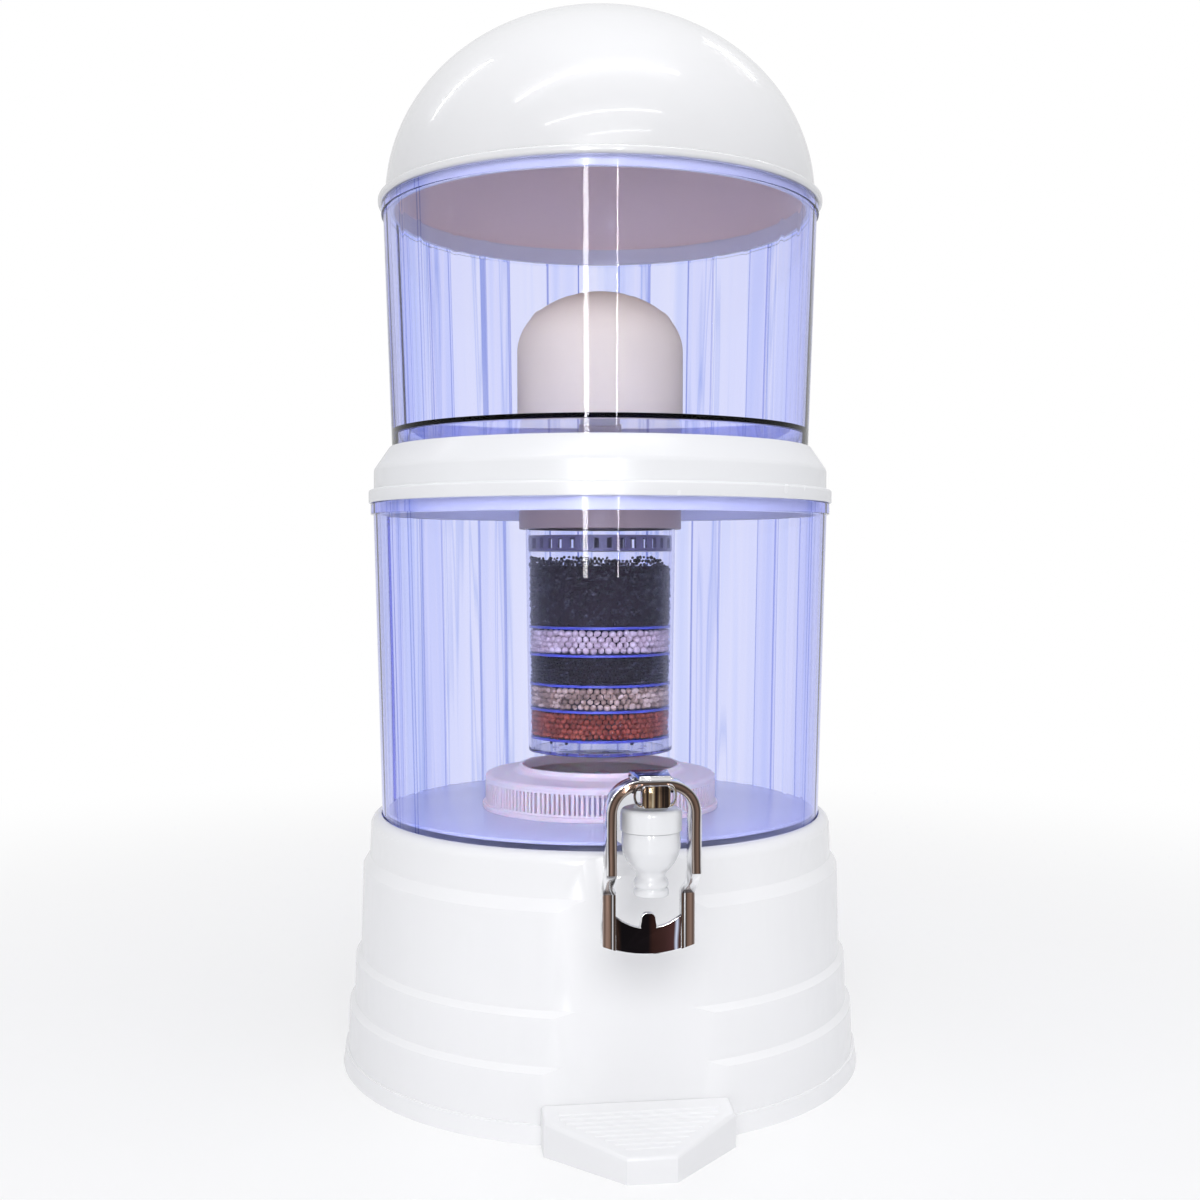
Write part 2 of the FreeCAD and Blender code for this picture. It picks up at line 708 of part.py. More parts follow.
case_z = tank_floor_z
drum_top_z = case_z + case_drum_height
case_inner = case_radius - case_wall
case_body = turned("case_body_form", [
    (0, case_z),
    (case_flange_radius, case_z),
    (case_flange_radius, case_z + case_wall),
    (case_radius, case_z + case_wall),
    (case_radius, drum_top_z),
    (case_inner, drum_top_z),
    (case_inner, case_z + case_wall),
    (0, case_z + case_wall),
])
keep(repeated_groove(case_body, [
    (case_inner - 1, case_z + case_wall + case_slot_margin),
    (case_radius + 1, case_z + case_wall + case_slot_margin),
    (case_radius + 1, drum_top_z - case_slot_margin),
    (case_inner - 1, drum_top_z - case_slot_margin),
], case_slot_angle, case_slot_count), "mineral_case_body")

shoulder_z = drum_top_z + case_shoulder_rise
neck_top_z = shoulder_z + neck_height
neck_inner = neck_radius - neck_wall
spigot_outer = case_inner - cover_gap
keep(turned("case_cover_form", [
    (spigot_outer, drum_top_z - cover_spigot),
    (spigot_outer, drum_top_z),
    (case_radius, drum_top_z),
    (case_radius, drum_top_z + 1),
    (case_radius - 1.6, drum_top_z + 2.2, -3),
    (neck_radius + 2, shoulder_z),
    (neck_radius, shoulder_z + 1.5, 4),
    (neck_radius - 0.5, neck_top_z),
    (neck_inner, neck_top_z),
    (neck_inner, shoulder_z - case_wall),
    (spigot_outer - case_wall, drum_top_z + 0.2),
    (spigot_outer - case_wall, drum_top_z - cover_spigot),
]), "mineral_case_cover")

stones = []
stone_ring = spigot_outer - case_wall - stone_gap - stone_radius
for index in range(int(stone_count.value)):
    stone = doc.addObject("Part::Ellipsoid", f"stone_{index}")
    bind(stone, "Radius1", stone_height)
    bind(stone, "Radius2", stone_radius)
    bind(stone, "Radius3", stone_radius)
    angle = 2 * math.pi * (index + 0.5) / stone_count.value
    place(stone, stone_ring * math.cos(angle), stone_ring * math.sin(angle),
          case_z + case_wall + stone_height)
    stones.append(stone)
stone_group = doc.addObject("Part::Compound", "stones")
stone_group.Links = stones
keep(stone_group, "mineral_stones")

# Collar ring: sits on the lower tank's rim and carries the upper tank on an inner ledge.

collar_z = tank_top_z
collar_flange_z = collar_z + collar_flange_height
collar_band_z = collar_flange_z + collar_band_height
collar_top_z = collar_band_z + collar_cone_rise
ledge_z = collar_top_z - collar_ledge_depth
upper_slope = (upper_top_radius - upper_bottom_radius) / (upper_height - upper_rim_height)
band_radius = collar_radius - collar_band_step
bore_radius = upper_bottom_radius + upper_slope * collar_ledge_depth + collar_bore_gap
plug_radius = tank_top_radius - tank_wall - collar_plug_gap
keep(turned("collar_form", [
    (plug_radius, collar_z),
    (collar_radius, collar_z),
    (collar_radius, collar_flange_z - 1),
    (collar_radius - 1, collar_flange_z, -1),
    (band_radius, collar_flange_z),
    (band_radius, collar_band_z),
    (bore_radius + collar_lip, collar_top_z),
    (bore_radius, collar_top_z),
    (bore_radius, ledge_z),
    (bore_radius - collar_ledge_width, ledge_z),
    (bore_radius - collar_ledge_width, ledge_z - collar_wall),
    (bore_radius + collar_wall, ledge_z - collar_wall),
    (bore_radius + collar_wall, collar_top_z - 2 * collar_wall),
    (band_radius - collar_wall, collar_band_z),
    (band_radius - collar_wall, collar_z + collar_wall),
    (plug_radius - collar_wall, collar_z + collar_wall),
    (plug_radius - collar_wall, collar_z - collar_plug_depth),
    (plug_radius, collar_z - collar_plug_depth),
]), "collar_ring")

# Upper tank: tapered and fluted, with a skirt below its floor and a bore for the dome's stud.

upper_z = ledge_z
upper_floor_z = upper_z + upper_skirt_depth + upper_floor_thickness
upper_top_z = upper_z + upper_height
upper_rim_radius = upper_top_radius + upper_rim_width
upper_rim_z = upper_top_z - upper_rim_height


def upper_radius(height):
    return upper_bottom_radius + upper_slope * (height - upper_z)


flute_span["upper_tank_form"] = (upper_floor_z + flute_margin, upper_rim_z - flute_margin)
bore = stud_radius + stud_gap
keep(fluted_tank("upper_tank_form", [
    (upper_bottom_radius, upper_z),
    (upper_top_radius, upper_rim_z),
    (upper_rim_radius, upper_rim_z),
    (upper_rim_radius, upper_top_z),
    (upper_radius(upper_top_z) - tank_wall, upper_top_z),
    (upper_radius(upper_floor_z) - tank_wall, upper_floor_z),
    (bore, upper_floor_z),
    (bore, upper_floor_z - upper_floor_thickness),
    (upper_radius(upper_floor_z - upper_floor_thickness) - tank_wall,
     upper_floor_z - upper_floor_thickness),
    (upper_bottom_radius - tank_wall, upper_z),
], upper_bottom_radius, upper_top_radius, upper_z, upper_rim_z), "upper_tank")

# Ceramic dome on its glued base plate, whose hollow stud goes down through the floor.

dome_z = upper_floor_z + dome_plate
crown_z = dome_z + dome_straight
dome_body = joined("dome_body", [
    rod("dome_side", dome_radius, dome_straight, z=dome_z),
    half_dome("dome_top", dome_radius, dome_crown, crown_z)])
dome_hollow = joined("dome_hollow", [
    rod("dome_bore", dome_radius - dome_wall, dome_straight + 1, z=dome_z - 1),
    half_dome("dome_bore_top", dome_radius - dome_wall, dome_crown - dome_wall, crown_z)])
keep(cut("ceramic_dome_form", dome_body, [dome_hollow]), "ceramic_dome")

stud_z = upper_floor_z - stud_length
plug = dome_radius - dome_wall - dome_glue_gap
keep(turned("dome_base_form", [
    (stud_bore, stud_z),
    (stud_radius, stud_z),
    (stud_radius, upper_floor_z + washer_thickness),
    (washer_radius, upper_floor_z + washer_thickness),
    (washer_radius, upper_floor_z),
    (dome_radius - 1, upper_floor_z),
    (dome_radius - 1, dome_z),
    (plug, dome_z),
    (plug, dome_z + dome_plug_height),
    (stud_bore, dome_z + dome_plug_height),
]), "dome_base")


def washer(label, hole, radius, thickness, z):
    return keep(turned(label + "_form", [
        (hole, z), (radius, z), (radius, z + thickness), (hole, z + thickness)]), label)


washer("dome_washer", stud_radius + stud_gap / 2, washer_radius - stud_gap, washer_thickness,
       upper_floor_z)
floor_under_z = upper_floor_z - upper_floor_thickness
washer("cartridge_seal", stud_radius + stud_gap / 2, head_hub_radius - 1, seal_thickness,
       floor_under_z - seal_thickness)

# Cartridge: screwed head, clear tapered shell, strainer, layers between screens, and end cap.

hub_top_z = floor_under_z - seal_thickness
plate_z = hub_top_z - hub_height
skirt_z = plate_z - head_skirt
keep(turned("cartridge_head_form", [
    (stud_radius + stud_gap / 2, plate_z),
    (head_radius - head_wall, plate_z),
    (head_radius - head_wall, skirt_z),
    (head_radius, skirt_z),
    (head_radius, plate_z + head_wall),
    (head_hub_radius, plate_z + head_wall),
    (head_hub_radius, hub_top_z),
    (stud_radius + stud_gap / 2, hub_top_z),
]), "cartridge_head")

shell_foot_z = skirt_z - shell_length
shell_slope = (shell_top_radius - shell_bottom_radius) / shell_length
shell_thread = head_radius - head_wall - layer_gap


def shell_inner(height):
    return shell_bottom_radius - shell_wall + shell_slope * (height - shell_foot_z)


keep(turned("cartridge_shell_form", [
    (shell_bottom_radius - shell_wall, shell_foot_z),
    (shell_bottom_radius, shell_foot_z),
    (shell_top_radius, skirt_z),
    (shell_thread, skirt_z),
    (shell_thread, plate_z),
    (shell_top_radius - shell_wall, plate_z),
    (shell_top_radius - shell_wall, skirt_z),
]), "cartridge_shell")

cap_ring_radius = shell_bottom_radius - shell_wall - layer_gap
cap_top_z = shell_foot_z + cap_ring_height
end_cap = turned("end_cap_form", [
    (0, shell_foot_z - cap_thickness),
    (shell_bottom_radius - 1, shell_foot_z - cap_thickness),
    (shell_bottom_radius, shell_foot_z - cap_thickness + 1, -1),
    (shell_bottom_radius, shell_foot_z),
    (cap_ring_radius, shell_foot_z),
    (cap_ring_radius, cap_top_z),
    (cap_ring_radius - cap_thickness, cap_top_z),
    (cap_ring_radius - cap_thickness, shell_foot_z),
    (0, shell_foot_z),
])
outlets = []
for index in range(int(outlet_count.value)):
    angle = 2 * math.pi * index / outlet_count.value
    outlets.append(rod(f"outlet_{index}", outlet_radius, cap_thickness + 2,
                       outlet_circle * math.cos(angle), outlet_circle * math.sin(angle),
                       shell_foot_z - cap_thickness - 1))
keep(cut("end_cap_bored", end_cap, outlets), "cartridge_end_cap")


def layer(label, bottom_z, thickness):
    """A tapered disc that fills the shell's bore, less a small gap."""
    thing = doc.addObject("Part::Cone", label + "_form")
    bind(thing, "Radius1", shell_inner(bottom_z) - layer_gap)
    bind(thing, "Radius2", shell_inner(bottom_z + thickness) - layer_gap)
    bind(thing, "Height", thickness)
    keep(place(thing, z=bottom_z), label)
    return bottom_z + thickness


stack_z = cap_top_z
for layer_name, depth in layer_depths.items():
    screen_name = "screen_under_" + layer_name.replace("_bed", "")
    stack_z = layer(screen_name, stack_z, screen_thickness)
    stack_z = layer(layer_name, stack_z, depth)

strainer_z = stack_z + strainer_lift
strainer_radius = shell_inner(strainer_z) - layer_gap
strainer_top_z = strainer_z + strainer_height
strainer = turned("strainer_form", [
    (0, strainer_z),
    (strainer_radius, strainer_z),
    (strainer_radius, strainer_top_z),
    (strainer_radius - strainer_wall, strainer_top_z),
    (strainer_radius - strainer_wall, strainer_z + strainer_wall),
    (0, strainer_z + strainer_wall),
])
keep(repeated_groove(strainer, [
    (strainer_radius - strainer_wall - 1, strainer_z + strainer_wall),
    (strainer_radius + 1, strainer_z + strainer_wall),
    (strainer_radius + 1, strainer_top_z - strainer_wall),
    (strainer_radius - strainer_wall - 1, strainer_top_z - strainer_wall),
], strainer_slot_angle, strainer_slot_count), "cartridge_strainer")

# Lid: a hollow dome with a beaded rim and a plug ring that centres it in the upper tank.

lid_z = upper_top_z
dome_base_z = lid_z + lid_bead_height
lid_plug_radius = upper_radius(lid_z - lid_plug_depth) - tank_wall - lid_plug_gap
lid_bead = rounded("lid_bead", rod("lid_rim", lid_bead_radius, lid_bead_height, z=lid_z),
                   lid_bead_round, lambda edge: near(edge.BoundBox.ZMin, edge.BoundBox.ZMax, 1e-6))
lid_plug = rod("lid_plug", lid_plug_radius, lid_plug_depth + 1, z=lid_z - lid_plug_depth)
lid_outer = joined("lid_outer", [half_dome("lid_crown_outer", lid_radius, lid_crown, dome_base_z),
                                 lid_bead, lid_plug])
lid_inner = joined("lid_inner", [
    half_dome("lid_crown_inner", lid_radius - lid_wall, lid_crown - lid_wall, dome_base_z),
    rod("lid_bore", lid_plug_radius - lid_wall, lid_bead_height + lid_plug_depth + 2,
        z=lid_z - lid_plug_depth - 1)])
keep(cut("lid_form", lid_outer, [lid_inner]), "lid")

# Tap body: barrel, bulb and ringed spout, with the shank that goes through the tank wall.

ring_step = (bulb_bottom_z - spout_z) / 4
tap_barrel = turned("tap_barrel", [
    (0, spout_z),
    (spout_ring_radius - 0.8, spout_z),
    (spout_ring_radius, spout_z + 0.8, -0.8),
    (spout_ring_radius, spout_z + ring_step - 0.4),
    (spout_ring_radius - 0.8, spout_z + ring_step + 0.6),
    (spout_ring_radius - 0.8, spout_z + 1.35 * ring_step),
    (spout_ring_radius, spout_z + 1.7 * ring_step),
    (spout_ring_radius, spout_z + 2.4 * ring_step),
    (spout_neck_radius, spout_z + 3 * ring_step),
    (spout_neck_radius, bulb_bottom_z),
    (bulb_radius - 1.8, bulb_side_z - 5.5, -34),
    (bulb_radius, bulb_side_z, -11),
    (bulb_radius, bonnet_seat_z - 0.2),
    (tap_thread_radius, bonnet_seat_z - 0.2),
    (tap_thread_radius, bonnet_seat_z + tap_thread_height),
    (0, bonnet_seat_z + tap_thread_height),
])
place(tap_barrel, y=-tap_reach)
gasket_outer = seat_face + gasket_thickness
shank_end = inner_face - inner_washer_thickness - nut_thickness - shank_end_length
tap_solid = joined("tap_solid", [
    tap_barrel,
    rod("tap_arm", arm_radius, tap_reach - gasket_outer, y=-gasket_outer,
        z=tap_height - arm_drop, turn=TOWARDS_FRONT),
    rod("tap_shank", shank_radius, gasket_outer - shank_end, y=-shank_end, z=tap_height,
        turn=TOWARDS_FRONT),
    rod("tap_flange", tap_flange_radius, tap_flange_thickness, y=-gasket_outer, z=tap_height,
        turn=TOWARDS_FRONT)])
tap_hollow = turned("tap_hollow", [
    (0, spout_z - 1),
    (spout_bore, spout_z - 1),
    (spout_bore, valve_seat_z),
    (chamber_radius, valve_seat_z + chamber_radius - spout_bore),
    (chamber_radius, bonnet_seat_z + tap_thread_height + 1),
    (0, bonnet_seat_z + tap_thread_height + 1),
])
place(tap_hollow, y=-tap_reach)
keep(cut("tap_body_form", tap_solid, [
    tap_hollow,
    rod("tap_waterway", waterway_radius, tap_reach - shank_end + 1, y=-shank_end + 1,
        z=tap_height - arm_drop, turn=TOWARDS_FRONT)]), "tap_body")

# Tap fixing: gasket outside, washer and hexagon nut inside the tank.

def shank_ring(label, radius, hole, thickness, outer_face):
    ring = rod(label + "_disc", radius, thickness, y=-outer_face + thickness, z=tap_height,
               turn=TOWARDS_FRONT)
    hollow = rod(label + "_hole", hole, thickness + 2, y=-outer_face + thickness + 1,
                 z=tap_height, turn=TOWARDS_FRONT)
    return keep(cut(label + "_form", ring, [hollow]), label)


shank_ring("tap_gasket", tap_flange_radius - 0.4, shank_radius + shank_gap / 2, gasket_thickness,
           gasket_outer)
shank_ring("tap_inner_washer", tap_flange_radius - 1.4, shank_radius + shank_gap / 2,
           inner_washer_thickness, inner_face)
nut_face = inner_face - inner_washer_thickness
hexagon = doc.addObject("Part::Prism", "nut_hexagon")
hexagon.Polygon = 6
bind(hexagon, "Circumradius", nut_radius)
bind(hexagon, "Height", nut_thickness)
place(hexagon, y=-nut_face + nut_thickness, z=tap_height, turn=TOWARDS_FRONT)
nut_hole = rod("nut_hole", shank_radius + shank_gap / 4, nut_thickness + 2,
               y=-nut_face + nut_thickness + 1, z=tap_height, turn=TOWARDS_FRONT)
keep(cut("tap_nut_form", hexagon, [nut_hole]), "tap_nut")

# Bonnet: the screwed cap that the stem comes up through.

bonnet_top_z = bonnet_seat_z + bonnet_height
bonnet_rim_z = bonnet_top_z - bonnet_lip_rise
ceiling_z = bonnet_rim_z - bonnet_top
bonnet = turned("bonnet_form", [
    (stem_radius + stem_gap, ceiling_z),
    (tap_thread_radius + 0.2, ceiling_z),
    (tap_thread_radius + 0.2, bonnet_seat_z),
    (bonnet_radius - 0.4, bonnet_seat_z),
    (bonnet_radius, bonnet_seat_z + 0.4),
    (bonnet_radius, bonnet_rim_z - bonnet_corner),
    (bonnet_radius - bonnet_corner, bonnet_rim_z, -bonnet_corner),
    (bonnet_lip_radius + 0.6, bonnet_rim_z),
    (bonnet_lip_radius, bonnet_top_z),
    (bonnet_lip_radius - 1.6, bonnet_top_z),
    (bonnet_lip_radius - 2.2, bonnet_rim_z),
    (stem_radius + stem_gap, bonnet_rim_z),
])
keep(place(bonnet, y=-tap_reach), "tap_bonnet")

# Plunger: steel stem with a head for the cross pin, silicone seal and closing spring.

seat_cone_z = valve_seat_z + seal_radius - spout_bore + valve_gap * 1.6
seal_top_z = seat_cone_z + plunger_seal_height
stem = turned("stem_form", [
    (0, seat_cone_z + 0.5),
    (stem_radius, seat_cone_z + 0.5),
    (stem_radius, pin_height - pin_radius - 1.6),
    (stem_head_radius, pin_height - pin_radius - 1.0),
    (stem_head_radius, pin_height + stem_head_rise - 0.8),
    (stem_head_radius - 0.8, pin_height + stem_head_rise, -0.8),
    (0, pin_height + stem_head_rise),
])
place(stem, y=-tap_reach)
stem_eye = rod("stem_eye", pin_radius + stem_gap / 4, 3 * stem_head_radius,
               -1.5 * stem_head_radius, -tap_reach, pin_height, TOWARDS_RIGHT)
keep(cut("plunger_stem_form", stem, [stem_eye]), "plunger_stem")
plunger_seal = turned("plunger_seal_form", [
    (0, valve_seat_z + valve_gap),
    (seal_tip_radius, valve_seat_z + valve_gap),
    (seal_radius, seat_cone_z),
    (seal_radius, seal_top_z),
    (stem_radius, seal_top_z),
    (stem_radius, seat_cone_z + 0.5),
    (0, seat_cone_z + 0.5),
])
keep(place(plunger_seal, y=-tap_reach), "plunger_seal")

spring_rise = ceiling_z - seal_top_z - 2 * spring_wire - 0.4
pitch = spring_rise.value / spring_turns.value
helix = Part.makeHelix(pitch, spring_rise.value, spring_radius.value)
wire_corners = [V((spring_radius + spring_wire * math.cos(math.pi / 4 * corner)).value, 0,
                  (spring_wire * math.sin(math.pi / 4 * corner)).value)
                for corner in (1, 3, 5, 7, 1)]
coil = Part.Wire(helix).makePipeShell([Part.makePolygon(wire_corners)], True, True)
spring = doc.addObject("Part::Feature", "plunger_spring_form")
spring.Shape = coil
place(spring, y=-tap_reach, z=seal_top_z + spring_wire + 0.2)
keep(spring, "plunger_spring")

# Lever: a chromed arch that straddles the tap, steps back and ends in a push plate.

heel_height = bonnet_top_z + heel_gap + heel_radius
inner_half = lever_half_width - lever_bar
arch_inner = arch_radius - lever_bar
front_y, back_y = -lever_front, -lever_front + lever_bar_depth
lower_front, lower_back = -lever_lower_front, -lever_lower_front + lever_lower_depth
side_form = pad("lever_side", "YZ_Plane", [
    (front_y, lever_top_z),
    (front_y, lever_step_top_z),
    (lower_front, lever_step_bottom_z),
    (lower_front, lever_foot_z - lever_foot_drop - 1),
    (lower_back, lever_foot_z - lever_foot_drop - 1),
    (lower_back, lever_step_bottom_z + 3),
    (back_y, lever_step_top_z + 3),
    (back_y, lever_top_z + lever_rear_rise * 0.7),
], 4 * lever_half_width)
foot_bend = (lever_half_width * lever_half_width + lever_foot_drop * lever_foot_drop) / (
    2 * lever_foot_drop)
arch_foot_z = lever_top_z - arch_radius
face_form = pad("lever_face", "XZ_Plane", [
    (-lever_half_width, lever_foot_z),
    (lever_half_width, lever_foot_z, -foot_bend),
    (lever_half_width, arch_foot_z),
    (lever_half_width - arch_radius, lever_top_z, -arch_radius),
    (lever_half_width - arch_radius, lever_top_z + 2 * lever_rear_rise),
    (arch_radius - lever_half_width, lever_top_z + 2 * lever_rear_rise),
    (arch_radius - lever_half_width, lever_top_z),
    (-lever_half_width, arch_foot_z, -arch_radius),
], 3 * lever_front)
frame = common("lever_frame", side_form, face_form)
dip_bend = (inner_half * inner_half + plate_dip * plate_dip) / (2 * plate_dip)
dip_root = dip_bend - root(dip_bend * dip_bend - plate_tab_foot * plate_tab_foot / 4)
window = pad("lever_window", "XZ_Plane", [
    (inner_half, plate_top_z),
    (inner_half, arch_foot_z),
    (inner_half - arch_inner, lever_top_z - lever_bar, -arch_inner),
    (arch_inner - inner_half, lever_top_z - lever_bar),
    (-inner_half, arch_foot_z, -arch_inner),
    (-inner_half, plate_top_z),
    (-plate_tab_foot / 2, plate_top_z - plate_dip + dip_root, -dip_bend),
    (-plate_tab_top / 2, plate_top_z, -10),
    (plate_tab_top / 2, plate_top_z),
    (plate_tab_foot / 2, plate_top_z - plate_dip + dip_root, -10),
], 3 * lever_front)
plate_relief = block("plate_relief", 2 * inner_half, lever_lower_depth, plate_top_z,
                     -inner_half, lower_front + plate_thickness + 0.8,
                     lever_foot_z - lever_foot_drop - 2)
plate_inset = block("plate_inset", 2 * inner_half, 2, plate_top_z,
                    -inner_half, lower_front + 0.8 - 2, lever_foot_z - lever_foot_drop - 2)
lever_frame = cut("lever_open_frame", frame, [window, plate_relief, plate_inset])
hub = pad("lever_hub", "YZ_Plane", [
    (front_y, lever_top_z - lever_bar),
    (-hub_back, lever_top_z - lever_bar),
    (-hub_back, lever_top_z + lever_rear_rise - 1),
    (-hub_back - 1, lever_top_z + lever_rear_rise, -1),
    (front_y, lever_top_z),
], 2 * hub_half_width)
heel = pad("lever_heel", "YZ_Plane", [
    (-heel_distance - heel_radius, heel_height),
    (-heel_distance, heel_height - heel_radius, -heel_radius),
    (-heel_distance + heel_radius, heel_height, -heel_radius),
    (-heel_distance + heel_radius + 2, heel_height + 4),
    (-heel_distance + heel_radius + 2, lever_top_z - 2),
    (-heel_distance - heel_radius + 1, lever_top_z - 2),
    (-heel_distance - heel_radius, lever_top_z - 3, -1),
], 2 * heel_half_width)
stem_pocket = block("stem_pocket", 2 * stem_head_radius + 1, hub_back, lever_top_z / 2,
                    -stem_head_radius - 0.5, -tap_reach - stem_head_radius - 0.4,
                    pin_height + stem_head_rise + head_room - lever_top_z / 2)
pin_slot = pad("pin_slot", "YZ_Plane", [
    (-tap_reach - pin_radius - 0.1, pin_height - pin_radius - 0.05),
    (-tap_reach + pin_radius + 2.7, pin_height - pin_radius - 0.05),
    (-tap_reach + pin_radius + 2.7, pin_height + pin_radius + 0.4),
    (-tap_reach - pin_radius - 0.1, pin_height + pin_radius + 0.4),
], 4 * hub_half_width)
keep(cut("lever_form", joined("lever_whole", [lever_frame, hub, heel]), [stem_pocket, pin_slot]),
     "tap_lever")
keep(rod("lever_pin_form", pin_radius, 2 * hub_half_width - 0.6, 0.3 - hub_half_width, -tap_reach,
         pin_height, TOWARDS_RIGHT), "lever_pin")

# Check every object, then write one file for each piece.

doc.recompute()
failed = [thing.Name for thing in doc.Objects
          if any(word in thing.State for word in ("Invalid", "Error"))]
if failed:
    raise ValueError("failed: " + ", ".join(failed))
os.makedirs("parts", exist_ok=True)
for thing in pieces:
    shape = thing.Shape
    if shape.isNull() or not shape.isValid() or not shape.Solids:
        raise ValueError(f"{thing.Label} has no sound solid")
    if not re.fullmatch(r"[a-z0-9_]{1,59}", thing.Label):
        raise ValueError(f"{thing.Label} is no good name")
    shape.exportStep(f"parts/{thing.Label}.step")
    print(f"{thing.Label:28s} solids {len(shape.Solids):3d}  volume {shape.Volume / 1000:9.2f} cm3")
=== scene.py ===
import bpy, bmesh, math, random
from mathutils import Matrix, Vector


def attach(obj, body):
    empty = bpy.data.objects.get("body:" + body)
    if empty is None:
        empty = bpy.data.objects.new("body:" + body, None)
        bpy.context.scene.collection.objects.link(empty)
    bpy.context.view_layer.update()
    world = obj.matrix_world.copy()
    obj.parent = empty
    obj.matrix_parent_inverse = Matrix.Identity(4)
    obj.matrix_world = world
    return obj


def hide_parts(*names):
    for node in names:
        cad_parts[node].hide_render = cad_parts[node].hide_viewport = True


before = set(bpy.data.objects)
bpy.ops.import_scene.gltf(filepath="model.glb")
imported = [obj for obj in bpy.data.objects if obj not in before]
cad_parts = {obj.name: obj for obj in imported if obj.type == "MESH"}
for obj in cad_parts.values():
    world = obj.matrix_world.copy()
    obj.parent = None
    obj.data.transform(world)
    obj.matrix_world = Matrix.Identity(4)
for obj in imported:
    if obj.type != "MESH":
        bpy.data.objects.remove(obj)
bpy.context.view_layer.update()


# The room: a white sweep that keeps the soft shadow under the filter, four soft lamps that
# light it, narrow strips that only show in its gloss, and a camera a little left of the tap.


class Reading:
    """An output of a node, on which sums and products are written as plain maths."""

    def __init__(self, tree, socket):
        self.tree, self.socket = tree, socket

    def maths(self, operation, *others):
        """What a maths node makes of this reading and the others, in that order."""
        made = self.tree.nodes.new("ShaderNodeMath")
        made.operation = operation
        for place, value in zip(made.inputs, (self, *others)):
            feed(self.tree, place, value)
        return Reading(self.tree, made.outputs[0])

    def __add__(self, other):
        return self.maths("ADD", other)

    def __sub__(self, other):
        return self.maths("SUBTRACT", other)

    def __rsub__(self, other):
        return self.maths("MULTIPLY_ADD", -1.0, other)

    def __mul__(self, other):
        return self.maths("MULTIPLY", other)

    def __truediv__(self, other):
        return self.maths("DIVIDE", other)

    def __pow__(self, other):
        return self.maths("POWER", other)

    def __lt__(self, other):
        return self.maths("LESS_THAN", other)

    def __gt__(self, other):
        return self.maths("GREATER_THAN", other)

    def __abs__(self):
        return self.maths("ABSOLUTE")

    __radd__, __rmul__ = __add__, __mul__


def feed(tree, place, value):
    if isinstance(value, Reading):
        tree.links.new(value.socket, place)
    else:
        place.default_value = value


class Finish:
    """A node-made finish, with one way to add a node to it."""

    def __init__(self, name, world=False):
        self.owner = bpy.data.worlds.new(name) if world else bpy.data.materials.new(name)
        self.owner.use_nodes = True
        self.tree = self.owner.node_tree
        self.tree.nodes.clear()

    def node(self, kind, inputs=None, out=0, **settings):
        made = self.tree.nodes.new("ShaderNode" + kind)
        for name, value in settings.items():
            if name == "stops":
                ramp = made.color_ramp.elements
                while len(ramp) < len(value):
                    ramp.new(0.5)
                for stop, (place, colour) in zip(ramp, value):
                    stop.position = place
                    stop.color = colour if len(colour) == 4 else (*colour, 1)
            else:
                setattr(made, name, value)
        for name, value in (inputs or {}).items():
            if isinstance(value, tuple) and len(value) == 3 and made.inputs[name].type == "RGBA":
                value = (*value, 1)
            feed(self.tree, made.inputs[name], value)
        return Reading(self.tree, made.outputs[out])

    def place(self):
        """Where a point lies on the piece, in metres."""
        return self.node("TexCoord", out="Object")

    def axes(self, place):
        split = self.node("SeparateXYZ", {0: place}).socket.node
        return [Reading(self.tree, output) for output in split.outputs]

    def noise(self, scale, detail=2.0, place=None):
        return self.node("TexNoise", {"Vector": place or self.place(), "Scale": scale,
                                      "Detail": detail})

    def between(self, factor, low, high):
        """A colour between two others, by a number from 0 to 1."""
        return self.node("Mix", {0: factor, 6: low if isinstance(low, Reading) else (*low, 1),
                                 7: high if isinstance(high, Reading) else (*high, 1)},
                         out=2, data_type="RGBA")

    def span(self, value, low, high):
        """A number that eases from 0 to 1 while the value runs from low to high."""
        return self.node("MapRange", {0: value, 1: low, 2: high}, interpolation_type="SMOOTHSTEP")

    def bump(self, height, strength, depth):
        return self.node("Bump", {"Height": height, "Strength": strength, "Distance": depth})

    def show(self, surface, volume=None):
        end = self.tree.nodes.new("ShaderNodeOutputWorld" if isinstance(self.owner, bpy.types.World)
                                  else "ShaderNodeOutputMaterial")
        feed(self.tree, end.inputs["Surface"], surface)
        if volume:
            feed(self.tree, end.inputs["Volume"], volume)
        return self.owner


def seen_directly(finish):
    """One for rays from the camera or through plastic, 0.6 in gloss, and 0 for light."""
    rays = finish.node("LightPath").socket.node.outputs
    mirrored = Reading(finish.tree, rays["Is Glossy Ray"]) * 0.6
    total = Reading(finish.tree, rays["Is Camera Ray"]) + mirrored
    total = total + Reading(finish.tree, rays["Is Transmission Ray"])
    return total.maths("MINIMUM", 1.0)


room = Finish("room_air", world=True)
room_light = room.node("Background", {"Color": (0.95, 0.96, 1.0), "Strength": 0.48})
room_white = room.node("Background", {"Color": (1.0, 1.0, 1.0), "Strength": 1.0})
bpy.context.scene.world = room.show(
    room.node("MixShader", {0: seen_directly(room), 1: room_light, 2: room_white}))

